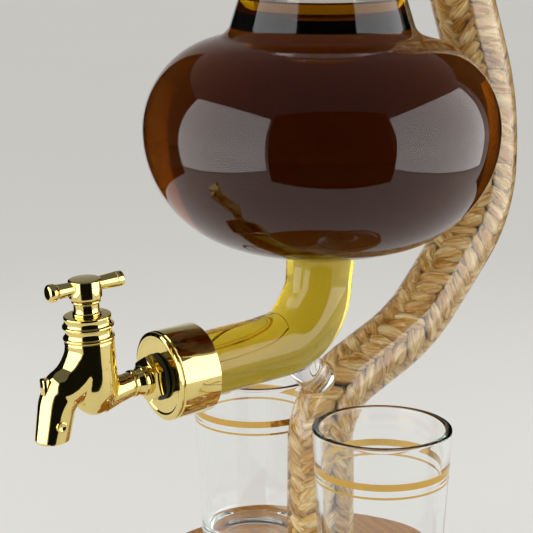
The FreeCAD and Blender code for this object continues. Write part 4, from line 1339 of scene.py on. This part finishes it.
class DISPENSER_OT_glasses(bpy.types.Operator):
    """Press two heavy-footed glasses and fire their gold bands"""

    bl_idname = "dispenser.glasses"
    bl_label = "Shot glasses"

    def execute(self, context):
        for which in ("front", "rear"):
            node, body = f"{which}_shot_glass", f"{which}_glass"
            low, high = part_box(node)
            middle = (low + high) / 2 / MM
            place = Matrix.Translation((middle.x, middle.y, mm(low.z)))
            top = mm(node_radius(node))
            height = mm(high.z - low.z)
            taper = (top - TUMBLER_FOOT) / height
            moves = [
                (0, 0.9), (11.0, 0.6), (15.5, 0.0, 1.5), (TUMBLER_FOOT, 0.0, 1.8),
                *on_side(taper, 0, (2.3,), (height - 1.6,)), (top, height, 0.8),
                (top - TUMBLER_WALL, height, 0.8),
                *on_side(taper, -TUMBLER_WALL, (height - 1.6,), (11.8,), (8.0, 3.2)), (14.0, 7.9),
                (0, 7.6),
            ]
            finish = (body, soda_lime_glass(), "banded_glass", node)
            turn_piece(f"{which}_tumbler", moves, *finish, place=place, closed=False, sharp=None)
            for name, start, end in (("wide_band", 57.3, 59.85), ("thin_band", 54.1, 54.9)):
                moves = on_side(taper, -0.05, (start,)) + on_side(taper, 0.05, (start,), (end,))
                moves += on_side(taper, -0.05, (end,))
                finish = (body, fired_gold(context), "gold_plating")
                turn_piece(f"{which}_{name}", moves, *finish, place=place, sharp=35)
        return {"FINISHED"}


def on_side(taper, out, *spots):
    """Corners at heights on a tumbler's leaning side, or out from it."""
    return [(TUMBLER_FOOT + taper * spot[0] + out, *spot) for spot in spots]


class DISPENSER_OT_stopper(bpy.types.Operator):
    """Turn the stopper's wooden cap over its tapered cork"""

    bl_idname = "dispenser.stopper"
    bl_label = "Stopper"

    def execute(self, context):
        low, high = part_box("stopper_cap")
        radius = mm(node_radius("stopper_cap"))
        top = mm(high.z)
        base = top - 14.0
        moves = [
            (0, mm(low.z)), (7.0, mm(low.z)), (7.0, base), (radius, base, 1.5),
            (radius, base + 3.4, 0.4), (radius - 0.5, base + 3.8, 0.3),
            (radius - 0.5, base + 4.3, 0.3), (radius, base + 4.7, 0.4), (radius, top, 4.5),
            (0, top),
        ]
        finish = ("stopper", oiled_hardwood(context), "turned_wood", "stopper_cap")
        turn_piece("turned_stopper_cap", moves, *finish, closed=False, sharp=35)
        finish_node("stopper_cork", natural_cork(context))
        return {"FINISHED"}


class DISPENSER_OT_stage(bpy.types.Operator):
    """Lay the studio floor, and set the lamps, the dark cards, the surroundings and the camera"""

    bl_idname = "dispenser.stage"
    bl_label = "Stage"

    def execute(self, context):
        scene = context.scene
        width = 18.0
        add_stage_plane("studio_floor", studio_floor(context), (width, width), Matrix.Identity(4))
        height, tall = 0.26, 0.50
        for name, turn, reach, width, radiance, fade in (
            ("left_softbox", -64, 0.46, 0.56, 2.4, 0),
            ("right_softbox", 80, 0.46, 0.72, 2.4, 0),
            ("left_rim_light", -118, 0.50, 0.42, 2.2, 1),
            ("right_rim_light", 128, 0.50, 0.42, 2.2, -1),
        ):
            lamp = add_lamp(name, upright(turn, reach, height), (width, tall), radiance, fade)
            lamp.visible_glossy = not fade
        height, tall = 0.226, 0.45
        for name, turn, reach, width in (
            ("front_card", 6.6, 0.302, 0.45),
            ("left_rear_card", -124, 0.40, 0.44),
            ("right_rear_card", 146, 0.40, 0.34),
        ):
            card = add_stage_plane(name, dark_card(), (width, tall), upright(turn, reach, height))
            for ray in ("camera", "diffuse", "transmission", "shadow"):
                setattr(card, f"visible_{ray}", False)
        surround(scene)
        camera = bpy.data.cameras.new("camera")
        camera.lens = FOCAL_PIXELS * SENSOR_WIDTH / FRAME_PIXELS
        camera.sensor_width = SENSOR_WIDTH
        camera.clip_start = 0.01
        camera.clip_end = 50
        holder = bpy.data.objects.new("camera", camera)
        holder.location = CAMERA_SPOT
        holder.rotation_euler = Vector(CAMERA_AIM).to_track_quat("-Z", "Y").to_euler()
        scene.collection.objects.link(holder)
        scene.camera = holder
        scene.view_settings.view_transform = "Standard"
        scene.cycles.max_bounces = 24
        scene.cycles.transmission_bounces = 24
        scene.cycles.glossy_bounces = 12
        scene.cycles.transparent_max_bounces = 24
        return {"FINISHED"}


def upright(turn, reach, height):
    """An upright place beside the object, so many degrees round from the camera."""
    turn = math.atan2(CAMERA_SPOT[1], CAMERA_SPOT[0]) + math.radians(turn)
    out = Vector((math.cos(turn), math.sin(turn), 0))
    facing = out.to_track_quat("Z", "Y").to_matrix().to_4x4()
    return Matrix.Translation(out * reach + Vector((0, 0, height))) @ facing


def add_lamp(name, place, size, radiance, fade):
    """A soft rectangular lamp; where it fades, it dims evenly towards one side."""
    lamp = bpy.data.lights.new(name, "AREA")
    lamp.shape = "RECTANGLE"
    lamp.size, lamp.size_y = size
    lamp.energy = radiance * math.pi * size[0] * size[1]
    if fade:
        lamp.use_nodes = True
        tree = lamp.node_tree
        tree.nodes.clear()
        across = add_node(tree, "NewGeometry").outputs["Parametric"]
        share = add_node(tree, "SeparateXYZ", {0: across}).outputs["Y"]
        ends = (1.0, 0.1) if fade > 0 else (0.1, 1.0)
        dim = add_node(tree, "MapRange", {"Value": share, "To Min": ends[0], "To Max": ends[1]})
        glow = add_node(tree, "Emission", {"Strength": dim})
        add_node(tree, "OutputLight", {"Surface": glow})
    holder = bpy.data.objects.new(name, lamp)
    holder.matrix_world = place
    bpy.context.scene.collection.objects.link(holder)
    return holder


def add_stage_plane(name, material, size, place):
    bm = bmesh.new()
    bmesh.ops.create_grid(bm, x_segments=2, y_segments=2, size=0.5)
    bmesh.ops.scale(bm, vec=(size[0], size[1], 1), verts=bm.verts)
    bmesh.ops.transform(bm, matrix=place, verts=bm.verts)
    mesh = bpy.data.meshes.new(name)
    bm.to_mesh(mesh)
    bm.free()
    mesh.materials.append(material)
    plane = bpy.data.objects.new(name, mesh)
    bpy.context.scene.collection.objects.link(plane)
    return plane


def dark_card():
    # Matt black card: seen by reflections only, it gives metal and glass their deep tones.
    material, tree = new_material("black_card")
    if tree is None:
        return material
    matt = add_node(tree, "BsdfDiffuse", {"Color": from_hex("#151515")})
    output(tree, matt)
    return material


def seen_directly(tree):
    """One for what the camera, mirrors and glass see, and nothing for the light on the object."""
    path = add_node(tree, "LightPath").outputs
    mirrored = add_node(
        tree, "Math", {0: path["Is Glossy Ray"], 1: path["Is Transmission Ray"]},
        operation="MAXIMUM",
    )
    return add_node(tree, "Math", {0: path["Is Camera Ray"], 1: mirrored}, operation="MAXIMUM")


def studio_floor(context):
    # Matt paper: much of its paleness is its own, so that it stays even far from the lamps.
    material, tree = new_material("matt_studio_paper")
    place = add_node(tree, "TexCoord").outputs["Object"]
    grain = add_node(tree, "TexNoise", {"Vector": place, "Scale": 3.0, "Detail": 2.0})
    shade = finish_colour(context, "floor")
    tone = add_node(
        tree, "Mix", {0: grain.outputs["Fac"], 6: shade, 7: shaded(shade, 0.98)}, data_type="RGBA"
    )
    matt = add_node(tree, "BsdfDiffuse", {"Color": tone.outputs[2]})
    glow = add_node(tree, "Emission", {"Color": tone.outputs[2], "Strength": 1.05})
    own = add_node(tree, "Math", {0: seen_directly(tree), 1: 0.65}, operation="MULTIPLY")
    paper = add_node(tree, "MixShader", {0: own, 1: matt, 2: glow})
    output(tree, paper)
    return material


def surround(scene):
    """A plain grey room, paler at the horizon than overhead, and even where glass shows it."""
    world = bpy.data.worlds.new("studio")
    scene.world = world
    world.use_nodes = True
    tree = world.node_tree
    tree.nodes.clear()
    way = add_node(tree, "TexCoord").outputs["Generated"]
    height = add_node(tree, "SeparateXYZ", {0: way}).outputs["Z"]
    greys = [
        (0.0, (0.55, 0.55, 0.54, 1)),
        (0.25, (0.30, 0.30, 0.30, 1)),
        (0.6, (0.14, 0.14, 0.145, 1)),
    ]
    sky = add_node(tree, "ValToRGB", {"Fac": height}, greys)
    through = add_node(tree, "LightPath").outputs["Is Transmission Ray"]
    room = add_node(tree, "Mix", {0: through, 6: sky, 7: (0.5, 0.5, 0.5, 1)}, data_type="RGBA")
    light = add_node(tree, "Background", {"Color": room.outputs[2], "Strength": 1.0})
    add_node(tree, "OutputWorld", {"Surface": light})


OPERATORS = (
    DISPENSER_OT_base, DISPENSER_OT_vessel, DISPENSER_OT_drink, DISPENSER_OT_stand_tube,
    DISPENSER_OT_plait, DISPENSER_OT_collar, DISPENSER_OT_tap_body, DISPENSER_OT_bonnet,
    DISPENSER_OT_handle, DISPENSER_OT_glasses, DISPENSER_OT_stopper, DISPENSER_OT_stage,
)
GROUPS = {
    "dispenser_vessel": DispenserVessel,
    "dispenser_stand": DispenserStand,
    "dispenser_colours": DispenserColours,
}


class DISPENSER_PT_panel(bpy.types.Panel):
    """Sizes, colours and the buttons that build each group of pieces"""

    bl_idname = "DISPENSER_PT_panel"
    bl_label = "Drink dispenser"
    bl_space_type = "VIEW_3D"
    bl_region_type = "UI"
    bl_category = "Dispenser"

    def draw(self, context):
        for name, group in GROUPS.items():
            box = self.layout.box()
            for setting in group.__annotations__:
                box.prop(getattr(context.scene, name), setting)
        for operator in OPERATORS:
            self.layout.operator(operator.bl_idname)


def register():
    for cls in (*GROUPS.values(), *OPERATORS, DISPENSER_PT_panel):
        bpy.utils.register_class(cls)
    for name, group in GROUPS.items():
        setattr(bpy.types.Scene, name, bpy.props.PointerProperty(type=group))


def unregister():
    for name in GROUPS:
        delattr(bpy.types.Scene, name)
    for cls in reversed((*GROUPS.values(), *OPERATORS, DISPENSER_PT_panel)):
        bpy.utils.unregister_class(cls)


def main():
    register()
    for operator in OPERATORS:
        group, name = operator.bl_idname.split(".")
        getattr(getattr(bpy.ops, group), name)()


if __name__ == "__main__":
    main()
